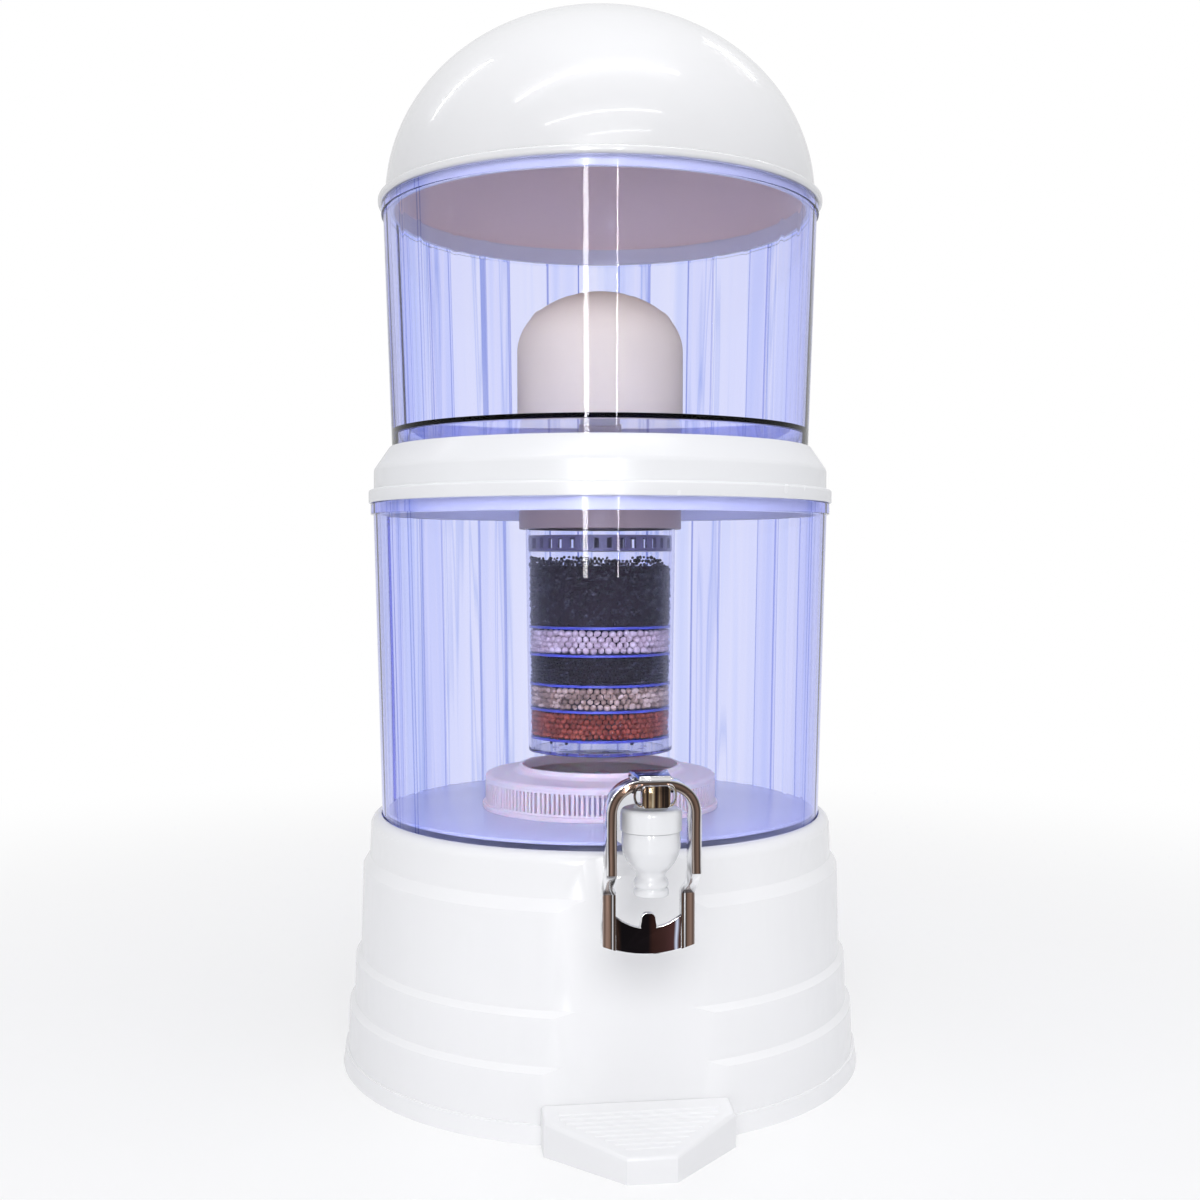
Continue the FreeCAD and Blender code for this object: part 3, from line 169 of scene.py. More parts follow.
sweep = bmesh.new()
bmesh.ops.create_grid(sweep, x_segments=2, y_segments=2, size=20.0)
sweep_mesh = bpy.data.meshes.new("sweep")
sweep.to_mesh(sweep_mesh)
sweep_object = bpy.data.objects.new("sweep", sweep_mesh)
bpy.context.scene.collection.objects.link(sweep_object)
paper = Finish("sweep_paper")
paper_x, paper_y = paper.axes(paper.place())[:2]
paper_far = paper.span((paper_x * paper_x + paper_y * paper_y) ** 0.5, 0.30, 1.1)
near_share = 0.52
paper_mix = seen_directly(paper) * (near_share + paper_far * (1.0 - near_share))
paper_body = paper.node("BsdfPrincipled", {
    "Base Color": paper.between(paper.noise(30.0), (0.90, 0.90, 0.91), (0.92, 0.92, 0.93)),
    "Roughness": 0.30, "Specular IOR Level": 0.35})
sweep_mesh.materials.append(paper.show(paper.node("MixShader", {
    0: paper_mix, 1: paper_body,
    2: paper.node("Emission", {"Color": (1.0, 1.0, 1.0), "Strength": 1.0})})))


def lamp(name, place, target, width, height, watts, mirrored=False, along=None):
    """A soft lamp that lights the surfaces, or a strip that only shows in their gloss."""
    data = bpy.data.lights.new(name, "AREA")
    data.shape = "RECTANGLE"
    data.size, data.size_y, data.energy = width, height, watts
    made = bpy.data.objects.new(name, data)
    away = (Vector(place) - Vector(target)).normalized()
    made.rotation_euler = (-away).to_track_quat("-Z", "Y").to_euler()
    if along:
        side = (along - away * along.dot(away)).normalized()
        made.rotation_euler = Matrix((side, away.cross(side), away)).transposed().to_euler()
    made.location = place
    made.visible_glossy = mirrored
    made.visible_diffuse = not mirrored
    made.visible_transmission = False
    bpy.context.scene.collection.objects.link(made)


def strip(name, start, end, target, width, watts):
    """A narrow lamp from one place to another, seen as a line in glossy plastic."""
    first, last = Vector(start), Vector(end)
    lamp(name, (first + last) / 2, target, (last - first).length, width, watts, True, last - first)


lamp("overhead_softbox", (0.1, -0.3, 1.9), (0, 0, 0.3), 1.0, 1.0, 11.5)
lamp("front_softbox", (-0.25, -1.9, 1.25), (0, 0, 0.3), 1.3, 0.9, 16.0)
lamp("left_softbox", (-1.6, -0.5, 0.8), (0, 0, 0.3), 0.7, 1.1, 3.0)
lamp("right_softbox", (1.6, -0.4, 0.8), (0, 0, 0.3), 0.7, 1.1, 2.1)
lid_middle, tank_middle = (0, 0, 0.56), (0, 0, 0.38)
strip("lid_arc_high", (-0.66, -0.44, 1.22), (0.47, -0.32, 1.40), lid_middle, 0.024, 1.15)
strip("lid_arc_middle", (-0.56, -0.81, 1.00), (0.39, -0.81, 1.13), lid_middle, 0.018, 0.5)
strip("lid_arc_low", (-0.24, -1.02, 0.88), (0.32, -0.97, 0.94), lid_middle, 0.012, 0.18)
strip("lid_arc_left", (-0.82, 0.36, 1.06), (-0.50, 0.25, 1.38), lid_middle, 0.02, 0.28)
strip("lid_arc_right", (0.43, 0.46, 1.30), (0.66, 0.42, 1.18), lid_middle, 0.02, 0.2)
strip("tank_strip_left", (-0.31, -1.25, 0.17), (-0.31, -1.25, 0.80), tank_middle, 0.05, 6.5)
strip("tank_strip_right", (0.02, -1.28, 0.17), (0.02, -1.28, 0.80), tank_middle, 0.015, 2.4)

camera_yaw, camera_dip = math.radians(7.3), math.radians(1.832)
view = bpy.data.cameras.new("view")
view.sensor_width = 36.0
view.lens = 43.23
view_object = bpy.data.objects.new("view", view)
view_object.location = (-0.1078, -0.8412, 0.2915)
view_object.rotation_euler = (math.pi / 2 - camera_dip, 0, -camera_yaw)
bpy.context.scene.collection.objects.link(view_object)
bpy.context.scene.camera = view_object
bpy.context.scene.view_settings.view_transform = "Standard"


# Base: a stepped pedestal, moulded hollow in white ABS with a flat panel at the front.
# The mould leaves soft edges and a faint orange-peel gloss.


def white_moulding(name, tint, roughness, peel=420.0, coat=0.25):
    """White ABS: nearly even colour, a soft gloss and the skin that moulding leaves."""
    finish = Finish(name)
    shade = tuple(channel * 0.965 for channel in tint)
    return finish.show(finish.node("BsdfPrincipled", {
        "Base Color": finish.between(finish.noise(9.0), shade, tint),
        "Roughness": roughness + (finish.noise(60.0) - 0.5) * 0.06,
        "Coat Weight": coat, "Coat Roughness": 0.06, "IOR": 1.52,
        "Normal": finish.bump(finish.noise(peel, 3.0), 0.06, 0.0002)}))


def plain_finish(name, cloud, low, high, roughness, skin=None, **extras):
    """A finish that drifts between two colours; its skin is (scale, strength, depth)."""
    finish = Finish(name)
    inputs = {"Base Color": finish.between(finish.noise(cloud), low, high),
              "Roughness": roughness}
    inputs.update((socket.replace("_", " "), value) for socket, value in extras.items())
    if skin:
        scale, strength, depth = skin
        inputs["Normal"] = finish.bump(finish.noise(scale), strength, depth)
    return finish.show(finish.node("BsdfPrincipled", inputs))


def piece(name, bm, body, finish, replaced=(), crease=32):
    """A finished piece from a bmesh, smooth except along its sharp edges."""
    mesh = bpy.data.meshes.new(name)
    for face in bm.faces:
        face.smooth = True
    bm.to_mesh(mesh)
    bm.free()
    mesh.set_sharp_from_angle(angle=math.radians(crease))
    mesh.materials.append(finish)
    made = bpy.data.objects.new(name, mesh)
    bpy.context.scene.collection.objects.link(made)
    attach(made, body)
    if replaced:
        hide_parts(*replaced)
    return made


def softened(node, name, body, finish, round_mm, segments=3):
    """A white moulded copy of a plain piece, with its sharp edges rounded."""
    bm = bmesh.new()
    bm.from_mesh(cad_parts[node].data)
    bmesh.ops.remove_doubles(bm, verts=bm.verts, dist=0.00001)
    bmesh.ops.dissolve_limit(bm, angle_limit=math.radians(1.0), verts=bm.verts, edges=bm.edges)
    made = piece(name, bm, body, finish, (node,), crease=40)
    edge = made.modifiers.new("soft_edges", "BEVEL")
    edge.width = round_mm / 1000
    edge.segments = segments
    edge.limit_method = "ANGLE"
    edge.angle_limit = math.radians(28)


base_white = white_moulding("base_white_abs", (0.90, 0.90, 0.91), 0.24)
softened("base_shell", "base_moulding", "base", base_white, 1.6)


# Drip shelf: a small white moulding hooked into the panel, with fine ridges across its
# top that keep a cup out of the drips.

shelf_white = white_moulding("shelf_white_abs", (0.88, 0.88, 0.89), 0.30, 500.0)
softened("drip_shelf", "shelf_moulding", "drip_shelf", shelf_white, 0.4, 2)


# Tanks: clear polycarbonate tinted a pale blue, blown in a fluted mould. The tint is weak
# through a wall and turns navy where the eye looks along it.

flute_pitch, first_flute, flute_half = 22.5, 15.75, 6.5
back_depth, front_depth = 1.2, 0.1
clear_tint = (0.98, 0.985, 1.0)


def spun(corners, steps=256):
    """A wall turned about the upright axis from (radius, height, rounding) in mm."""
    bm = bmesh.new()
    verts = [bm.verts.new((corner[0] / 1000, 0, corner[1] / 1000)) for corner in corners]
    for index in range(len(verts)):
        bm.edges.new((verts[index - 1], verts[index]))
    for vert, corner in zip(verts, corners):
        if len(corner) == 3:
            bmesh.ops.bevel(bm, geom=[vert], offset=corner[2] / 1000, affect="VERTICES",
                            segments=6, profile=0.5, material=-1)
    bmesh.ops.spin(bm, geom=bm.verts[:] + bm.edges[:], cent=(0, 0, 0), axis=(0, 0, 1),
                   angle=2 * math.pi, steps=steps, use_merge=True)
    bmesh.ops.remove_doubles(bm, verts=bm.verts, dist=0.000002)
    bmesh.ops.dissolve_degenerate(bm, edges=bm.edges, dist=0.000001)
    bmesh.ops.recalc_face_normals(bm, faces=bm.faces)
    return bm


def joined_in(bm, other):
    """Move the whole of another bmesh into this one."""
    carried = bpy.data.meshes.new("part")
    other.to_mesh(carried)
    other.free()
    bm.from_mesh(carried)
    bpy.data.meshes.remove(carried)


def fluted(bm, wall, low):
    """Press sixteen steep flutes into the inner wall, deeper at the back than in front."""
    side = 0.06
    for vert in bm.verts:
        radius, height = math.hypot(vert.co.x, vert.co.y) * 1000, vert.co.z * 1000
        if height < low or abs(radius - wall(height)) > 0.4:
            continue
        angle = math.degrees(math.atan2(vert.co.y, vert.co.x)) - first_flute
        flute = round(angle / flute_pitch) * flute_pitch
        away = angle - flute
        if abs(abs(away) - flute_half) < 0.47:
            edge = flute_half - side if abs(away) < flute_half else flute_half + side
            away = math.copysign(edge, away)
        if abs(away) < flute_half:
            radius += back_depth if vert.co.y > 0 else front_depth
        turned = math.radians(flute + away + first_flute)
        vert.co.x, vert.co.y = radius / 1000 * math.cos(turned), radius / 1000 * math.sin(turned)


def painted_refraction_lines(finish):
    """Painted refraction: upright streaks and dark lines at the flutes' edges, on the back and the
    far sides only.
    """
    across, deep, high = finish.axes(finish.place())
    round_wall = finish.node("CombineXYZ", {0: across * 62.0, 1: deep * 62.0, 2: high * 0.8})
    streaks = finish.node("ValToRGB", {0: finish.noise(1.0, 2.0, round_wall)}, stops=[
        (0.30, (0.80, 0.85, 0.98)), (0.42, (0.90, 0.93, 1.0)), (0.48, (1.0, 1.0, 1.0)),
        (0.57, (0.96, 0.97, 1.0)), (0.60, (0.58, 0.66, 0.90)), (0.63, (1.0, 1.0, 1.0))])
    turns = deep.maths("ARCTAN2", across) * math.degrees(1 / flute_pitch)
    turns = turns - first_flute / flute_pitch
    away = abs((turns + 0.5).maths("FRACT") - 0.5) * flute_pitch - flute_half
    edge = 1.0 - finish.span(abs(away), 0.12, 0.42)
    shown = finish.span(abs(across), 0.098, 0.104).maths("MAXIMUM", finish.span(deep, 0.0, 0.03))
    # The flutes' edges get painted refraction shade in navy.
    lined = finish.between(edge * 0.9, streaks, (0.26, 0.32, 0.70))
    return finish.between(shown, clear_tint, lined)


def clear_plastic(name, absorbed, density, marks=None, gleam=0.45):
    """Tinted clear plastic: light that reaches past it is not cut off by its own shadow."""
    finish = Finish(name)
    ripple = finish.bump(finish.noise(38.0, 1.0), 0.08, 0.0003)
    glass = finish.node("BsdfPrincipled", {
        "Base Color": marks(finish) if marks else clear_tint, "Roughness": 0.0,
        "IOR": 1.25, "Specular Tint": (gleam, gleam, gleam),
        "Transmission Weight": 1.0, "Normal": ripple})
    shadow = finish.node("LightPath", out="Is Shadow Ray")
    through = finish.node("BsdfTransparent", {"Color": (0.95, 0.96, 1.0)})
    tint = finish.node("VolumeAbsorption", {"Color": absorbed, "Density": density})
    return finish.show(finish.node("MixShader", {0: shadow, 1: glass, 2: through}), tint)


tank_plastic = clear_plastic("tank_blue_polycarbonate", (0.06, 0.13, 0.96), 58.0,
                             painted_refraction_lines, 0.7)
wall_mm = 3.2


def lower_wall(height):
    """The lower tank's inner radius at a height, both in mm."""
    return 127.2 + (height - 138.0) * 4.3 / 176.0 - wall_mm


lower_tank = spun([
    (127.2, 138.0, 0.8), (131.5, 314.0), (133.1, 314.0, 0.5), (133.1, 320.5, 1.0),
    (lower_wall(320.5), 320.5), (lower_wall(138.0), 138.0)], 384)
fluted(lower_tank, lower_wall, 137.9)
piece("lower_tank_wall", lower_tank, "lower_tank", tank_plastic, ("lower_tank",))
lower_floor = spun([(0.0, 144.2), (124.0, 144.2, 0.4), (124.0, 146.0, 0.4), (0.0, 146.0)], 192)
floor_finish = Finish("tank_floor_polycarbonate")
floor_tone = floor_finish.between(floor_finish.noise(14.0), (0.78, 0.79, 0.93),
                                  (0.88, 0.89, 0.98))
floor_body = floor_finish.node("BsdfPrincipled", {
    "Base Color": floor_tone, "Roughness": 0.05, "IOR": 1.58,
    "Normal": floor_finish.bump(floor_finish.noise(30.0), 0.05, 0.0003)})
floor_through = floor_finish.node("BsdfTransparent", {"Color": (0.86, 0.88, 1.0)})
tank_floor = floor_finish.show(floor_finish.node("MixShader", {
    0: 0.75, 1: floor_through, 2: floor_body}))
piece("lower_tank_floor", lower_floor, "lower_tank", tank_floor)


def upper_wall(height):
    """The upper tank's inner radius at a height, both in mm."""
    return 120.5 + (height - 343.5) * 4.7 / 141.3 - wall_mm


upper_tank = spun([
    (120.5, 343.5, 0.8), (125.2, 484.8), (126.4, 484.8, 0.4), (126.4, 490.3, 1.0),
    (upper_wall(490.3), 490.3), (upper_wall(363.0), 363.0),
    (6.4, 363.0), (6.4, 360.5), (upper_wall(360.5), 360.5, 1.0), (117.3, 343.5, 0.6)], 384)
fluted(upper_tank, upper_wall, 362.9)
piece("upper_tank_wall", upper_tank, "upper_tank", tank_plastic, ("upper_tank",))


# Mineral case: a slotted drum on the tank's floor with a shouldered cover and open neck,
# moulded in white polypropylene that lets a little light through, with washed stones in it.

case_finish = Finish("case_white_polypropylene")
case_cloud = case_finish.noise(22.0)
case_body = case_finish.node("BsdfPrincipled", {
    "Base Color": case_finish.between(case_cloud, (0.80, 0.67, 0.63), (0.88, 0.74, 0.69)),
    "Roughness": 0.34 + case_cloud * 0.1, "Subsurface Weight": 0.25, "Subsurface Scale": 0.004,
    "Normal": case_finish.bump(case_finish.noise(500.0), 0.08, 0.0003)})
case_white = case_finish.show(case_body)
case_drum = spun([
    (0.0, 146.0), (70.0, 146.0, 0.4), (70.0, 148.6, 0.6), (67.7, 148.6), (67.7, 149.6, 0.3),
    (64.4, 149.6), (64.4, 160.9), (67.7, 160.9, 0.3), (67.7, 162.5, 0.3), (63.4, 162.5),
    (63.4, 148.2), (0.0, 148.2)], 192)
rib_count = 150
rib_place = Matrix.Translation((0.066, 0, 0.15525)) @ Matrix.Diagonal((0.0034, 0.0015, 0.0115, 1))
for number in range(rib_count):
    turn = Matrix.Rotation(2 * math.pi * number / rib_count, 4, "Z")
    bmesh.ops.create_cube(case_drum, size=1.0, matrix=turn @ rib_place)
case_piece = piece("case_drum", case_drum, "mineral_case", case_white,
                   ("mineral_case_body",))
case_piece.data.materials.append(plain_finish(
    "case_lining_shade", 40.0, (0.36, 0.31, 0.44), (0.46, 0.41, 0.56), 0.5, (300.0, 0.1, 0.0003)))
lining_radius = 0.0644
for face in case_piece.data.polygons:
    radius = math.hypot(face.center.x, face.center.y)
    if abs(radius - lining_radius) < 0.0004 and 0.1497 < face.center.z < 0.1608:
        face.material_index = 1
case_cover = spun([
    (62.4, 159.5), (65.4, 159.5), (65.4, 162.5), (67.7, 162.5), (67.7, 163.6, 0.5),
    (66.2, 164.9, 1.0), (49.9, 166.2, 2.0), (47.9, 167.8, 0.5), (47.4, 170.0, 0.6),
    (45.3, 170.0, 0.6), (45.3, 164.2, 0.6), (63.4, 162.7, 0.5)], 192)
piece("case_cover", case_cover, "mineral_case", case_white,
      ("mineral_case_cover",))


def dress(node, finish):
    """Give a plain piece its real finish."""
    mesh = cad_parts[node].data
    mesh.materials.clear()
    mesh.materials.append(finish)


stone_finish = Finish("washed_mineral_stone")
stone_cells = stone_finish.node("TexVoronoi", {"Vector": stone_finish.place(), "Scale": 90.0},
                                out="Color")
stone_tone = stone_finish.node("ValToRGB", {0: stone_finish.noise(160.0, 5.0)}, stops=[
    (0.25, (0.46, 0.42, 0.41)), (0.5, (0.72, 0.68, 0.67)), (0.8, (0.88, 0.85, 0.84))])
dress("mineral_stones", stone_finish.show(stone_finish.node("BsdfPrincipled", {
    "Base Color": stone_finish.between(0.3, stone_tone, stone_cells), "Roughness": 0.62,
    "Normal": stone_finish.bump(stone_finish.noise(420.0, 4.0), 0.4, 0.0006)})))


# Collar ring: one white moulding that sits over the lower tank's rim and carries the
# upper tank on a ledge inside.

collar_white = white_moulding("collar_white_abs", (0.83, 0.835, 0.85), 0.26, 420.0, 0.1)
collar = spun([
    (127.8, 320.5), (134.3, 320.5, 0.6), (134.3, 328.0, 1.4), (131.3, 328.0, 0.6),
    (131.3, 339.5, 1.6), (122.35, 352.5, 0.5), (121.15, 352.5, 0.4), (121.15, 343.5),
    (113.15, 343.5, 0.4), (113.15, 341.1), (123.55, 341.1), (123.55, 347.7), (128.9, 339.5),
    (128.9, 322.9), (125.4, 322.9), (125.4, 313.5, 0.6), (127.8, 313.5, 0.6)], 256)
piece("collar_moulding", collar, "collar", collar_white, ("collar_ring",))


# Lid: a white dome with a rounded bead at its rim and a low plug ring that centres it.

lid_white = white_moulding("lid_white_abs", (0.76, 0.76, 0.77), 0.22, 380.0, 0.7)
lid_seat = 0.4949
lid = bmesh.new()
for radius, rise, inside in ((0.124, 0.1067, False), (0.1215, 0.1042, True)):
    half = bmesh.new()
    bmesh.ops.create_uvsphere(half, u_segments=192, v_segments=96, radius=1.0)
    bmesh.ops.bisect_plane(half, geom=half.verts[:] + half.edges[:] + half.faces[:],
                           plane_co=(0, 0, 0), plane_no=(0, 0, 1), clear_inner=True)
    bmesh.ops.scale(half, vec=(radius, radius, rise), verts=half.verts)
    bmesh.ops.translate(half, vec=(0, 0, lid_seat), verts=half.verts)
    if inside:
        bmesh.ops.reverse_faces(half, faces=half.faces)
        for face in half.faces:
            face.material_index = 1
    joined_in(lid, half)
joined_in(lid, spun([
    (124.0, 494.9), (126.5, 494.9), (128.3, 494.0, 0.6), (128.3, 491.2, 0.8), (127.0, 490.3, 0.6),
    (121.5, 490.3), (121.5, 485.3, 0.5), (119.0, 485.3, 0.5), (119.0, 494.9), (121.5, 494.9)], 192))
lid_piece = piece("lid_moulding", lid, "lid", lid_white, ("lid",), crease=50)
# The inner skin gets its own warm copy of the white. Its colour is set for the shaded inside as
# seen through the blue tank, a painted tone for shade and tint rather than a second colour of the
# plastic.
lid_piece.data.materials.append(white_moulding("lid_inside_painted_tone", (0.93, 0.77, 0.68), 0.55))


# Ceramic dome: a hollow candle of fired earthenware, matt and finely pitted, glued to a
# plate whose hollow stud passes through the tank's floor.

dome_finish = Finish("fired_ceramic")
# Painted edge shade: the colour darkens towards brown where the surface turns away from the view.
dome_painted_edge_shade = dome_finish.node("LayerWeight", {"Blend": 0.35}, out="Facing")
dome_tone = dome_finish.between(dome_finish.noise(26.0, 4.0), (0.76, 0.66, 0.47),
                                (0.82, 0.72, 0.52))
ceramic = dome_finish.show(dome_finish.node("BsdfPrincipled", {
    "Base Color": dome_finish.between(dome_painted_edge_shade * 0.6, dome_tone, (0.58, 0.47, 0.34)),
    "Roughness": 0.82, "Specular IOR Level": 0.25,
    "Normal": dome_finish.bump(dome_finish.noise(900.0), 0.25, 0.0003)}))
dome_side, bore_share = 0.046, 0.825
dome = bmesh.new()
bmesh.ops.create_uvsphere(dome, u_segments=128, v_segments=64, radius=1.0)
bmesh.ops.bisect_plane(dome, geom=dome.verts[:] + dome.edges[:] + dome.faces[:],
                       plane_co=(0, 0, 0), plane_no=(0, 0, 1), clear_inner=True)
bmesh.ops.scale(dome, vec=(0.0485, 0.0485, 0.0345), verts=dome.verts)
bmesh.ops.translate(dome, vec=(0, 0, 0.4102), verts=dome.verts)
for lower, share in ((dome_side, 1.0), (0.0, bore_share)):
    open_edges = [edge for edge in dome.edges if edge.is_boundary]
    made = bmesh.ops.extrude_edge_only(dome, edges=open_edges)
    moved = [item for item in made["geom"] if isinstance(item, bmesh.types.BMVert)]
    bmesh.ops.translate(dome, vec=(0, 0, -lower), verts=moved)
    bmesh.ops.scale(dome, vec=(share, share, 1), verts=moved)
bmesh.ops.recalc_face_normals(dome, faces=dome.faces)
piece("dome_candle", dome, "upper_tank", ceramic, ("ceramic_dome",))
fitting_white = white_moulding("fitting_white_nylon", (0.80, 0.80, 0.81), 0.38)
dress("dome_base", fitting_white)
soft_silicone = plain_finish(
    "clear_silicone", 70.0, (0.70, 0.70, 0.69), (0.78, 0.78, 0.77), 0.5, (700.0, 0.12, 0.0002),
    Subsurface_Weight=0.2, Subsurface_Scale=0.002)
for name in ("dome_washer", "cartridge_seal", "tap_gasket", "tap_inner_washer", "plunger_seal"):
    dress(name, soft_silicone)


# Cartridge: a clear tapering tube screwed into a pale head, closed below by a clear cap
# with outlet holes. A ribbed strainer and blue discs keep its layers apart.

# The head is white plastic. Its dark mauve colour is painted shade, for where it sits in shadow
# under the collar behind the tinted tank.
head_finish = Finish("head_white_painted_shade")
head_tone = head_finish.between(head_finish.noise(15.0), (0.36, 0.27, 0.24), (0.43, 0.33, 0.29))
head_painted_shade = head_finish.show(head_finish.node("BsdfPrincipled", {
    "Base Color": head_tone, "Roughness": 0.35 + head_finish.noise(80.0) * 0.1,
    "Normal": head_finish.bump(head_finish.noise(450.0), 0.06, 0.0002)}))
head = spun([
    (6.2, 333.0), (45.1, 333.0), (45.1, 306.0, 0.4), (47.5, 306.0, 0.6), (47.5, 335.4, 1.0),
    (12.5, 335.4, 1.0), (12.5, 358.5, 0.5), (6.2, 358.5)], 144)
piece("head_moulding", head, "upper_tank", head_painted_shade, ("cartridge_head",))
cartridge_plastic = clear_plastic("cartridge_clear_polystyrene", (0.22, 0.20, 0.70), 30.0)
shell = spun([
    (39.7, 180.0), (41.5, 180.0, 0.4), (43.5, 306.0), (44.9, 306.3, 0.3), (44.9, 333.0),
    (41.7, 333.0), (41.7, 306.0)], 160)
piece("shell_tube", shell, "upper_tank", cartridge_plastic, ("cartridge_shell",))
dress("cartridge_end_cap", cartridge_plastic)
disc_blue = plain_finish("blue_disc_plastic", 60.0, (0.035, 0.045, 0.30), (0.07, 0.085, 0.42),
                         0.32, (300.0, 0.1, 0.0002))
for name in ("red_ball", "beige_ball", "black_granule", "pale_ball", "carbon"):
    dress("screen_under_" + name, disc_blue)
dress("cartridge_strainer", plain_finish(
    "strainer_smoke_plastic", 40.0, (0.09, 0.08, 0.15), (0.15, 0.13, 0.22), 0.3,
    (300.0, 0.1, 0.0002)))


# Fillings: fired balls in red, beige and pale mauve, black granules and crushed carbon, all
# poured in by hand, so that they lie uneven. A few granules have slipped under the last disc.


def shell_bore(height):
    """The tube's inner radius at a height, both in mm."""
    return 39.7 + (height - 180.0) * 2.0 / 126.0


gap_shade = plain_finish("shade_between_grains", 200.0, (0.010, 0.007, 0.009),
                         (0.025, 0.018, 0.022), 0.9, Specular_IOR_Level=0.1)


def grains(name, low, high, size, finish, node, seed, faces=2, wobble=0.15, squeeze=0.86,
           top=None, core=True):
    """A layer of grains against the tube, in rings that nest, round a plain middle."""
    whole_turn, clearance = 6.28, 0.15
    rnd = random.Random(seed)
    bm = bmesh.new()
    rise = size * squeeze
    count = max(1, round((high - low - size) / rise) + 1)
    gap = (high - low - size) / max(1, count - 1)
    for level in range(count):
        row = bmesh.new()
        height = low + size / 2 + gap * level
        reach = shell_bore(height) - size / 2 - clearance
        ring = int(2 * math.pi * reach / (size * 0.97))
        for step in range(ring):
            angle = 2 * math.pi * (step + 0.5 * (level % 2)) / ring
            if top and height > top(math.degrees(angle)):
                continue
            own = size / 2 * (1 - wobble * rnd.random())
            where = reach - rnd.random() * wobble * size * 1.2
            drift = (rnd.random() - 0.5) * size * wobble
            turn = Matrix.Rotation(rnd.random() * whole_turn, 4, (rnd.random(), rnd.random(), 0.3))
            stretch = Matrix.Diagonal((1 + wobble * rnd.uniform(-1, 1),
                                       1 + wobble * rnd.uniform(-1, 1), 1, 1))
            place = Matrix.Translation((where / 1000 * math.cos(angle),
                                        where / 1000 * math.sin(angle), (height + drift) / 1000))
            bmesh.ops.create_icosphere(row, subdivisions=faces, radius=own / 1000,
                                       matrix=place @ turn @ stretch)
        joined_in(bm, row)
    if core:
        before = len(bm.faces)
        inner = shell_bore(low) - size * 0.9
        bmesh.ops.create_cone(bm, cap_ends=True, segments=64, radius1=inner / 1000,
                              radius2=inner / 1000, depth=(high - low - size * 0.5) / 1000,
                              matrix=Matrix.Translation((0, 0, (low + high) / 2000)))
        bm.faces.ensure_lookup_table()
        for face in bm.faces[before:]:
            face.material_index = 1
    made = piece(name, bm, "upper_tank", finish, (node,), crease=80 if faces > 1 else 20)
    made.data.materials.append(gap_shade)


def ball_finish(name, dark, middle, light, roughness, grain):
    """Fired balls, each with its own tone and a fine dusty skin."""
    finish = Finish(name)
    tone = finish.node("ValToRGB", {0: finish.node("TexVoronoi", {
        "Vector": finish.place(), "Scale": grain}, out="Color")}, stops=[
            (0.15, dark), (0.5, middle), (0.85, light)])
    return finish.show(finish.node("BsdfPrincipled", {
        "Base Color": finish.between(finish.noise(900.0) * 0.35, tone, middle),
        "Roughness": roughness, "Specular IOR Level": 0.22,
        "Normal": finish.bump(finish.noise(1600.0), 0.2, 0.0002)}))


red_clay = ball_finish("red_clay_balls", (0.16, 0.025, 0.012), (0.29, 0.050, 0.025),
                       (0.44, 0.10, 0.05), 0.62, 210.0)
beige_clay = ball_finish("beige_clay_balls", (0.20, 0.13, 0.09), (0.42, 0.28, 0.19),
                         (0.74, 0.58, 0.44), 0.6, 230.0)
pale_clay = ball_finish("pale_mauve_balls", (0.42, 0.32, 0.33), (0.57, 0.44, 0.43),
                        (0.74, 0.62, 0.60), 0.5, 220.0)
black_grain = ball_finish("black_grains", (0.002, 0.002, 0.003), (0.006, 0.005, 0.007),
                          (0.06, 0.055, 0.075), 0.38, 500.0)
grains("red_balls", 187.3, 202.2, 3.6, red_clay, "red_ball_bed", 3)
grains("beige_balls", 203.9, 216.7, 3.9, beige_clay, "beige_ball_bed", 5)
grains("black_grains", 218.3, 233.4, 2.3, black_grain, "black_granule_bed", 7, 1, 0.35)
grains("pale_balls", 235.3, 249.2, 4.4, pale_clay, "pale_ball_bed", 11)


def carbon_top(degrees):
    """The carbon's uneven top: level at the left, falling away at the right."""
    across = math.cos(math.radians(degrees) - camera_yaw)
    return 289.5 + 1.6 * math.sin(math.radians(degrees * 5)) - 6.0 * max(0.0, across) ** 3


grains("carbon_granules", 250.9, 292.4, 2.6, black_grain, "carbon_bed", 13, 1, 0.4, 0.66,
       top=carbon_top, core=False)
carbon_core = bmesh.new()
bmesh.ops.create_cone(carbon_core, cap_ends=True, segments=64, radius1=0.0395, radius2=0.0396,
                      depth=0.034, matrix=Matrix.Translation((0, 0, 0.268)))
piece("carbon_middle", carbon_core, "upper_tank", gap_shade)
strays = bmesh.new()
for across, deep in ((-0.0306, -0.0241), (-0.0231, -0.0313), (0.0138, -0.0363)):
    bmesh.ops.create_icosphere(strays, subdivisions=1, radius=0.0010,
                               matrix=Matrix.Translation((across, deep, 0.1853)))
piece("stray_granules", strays, "upper_tank", black_grain, (), 20)


# Tap: a glossy white moulding screwed through the tank wall, with a bulb above a spout
# that has two soft rings, and a screwed bonnet on top.

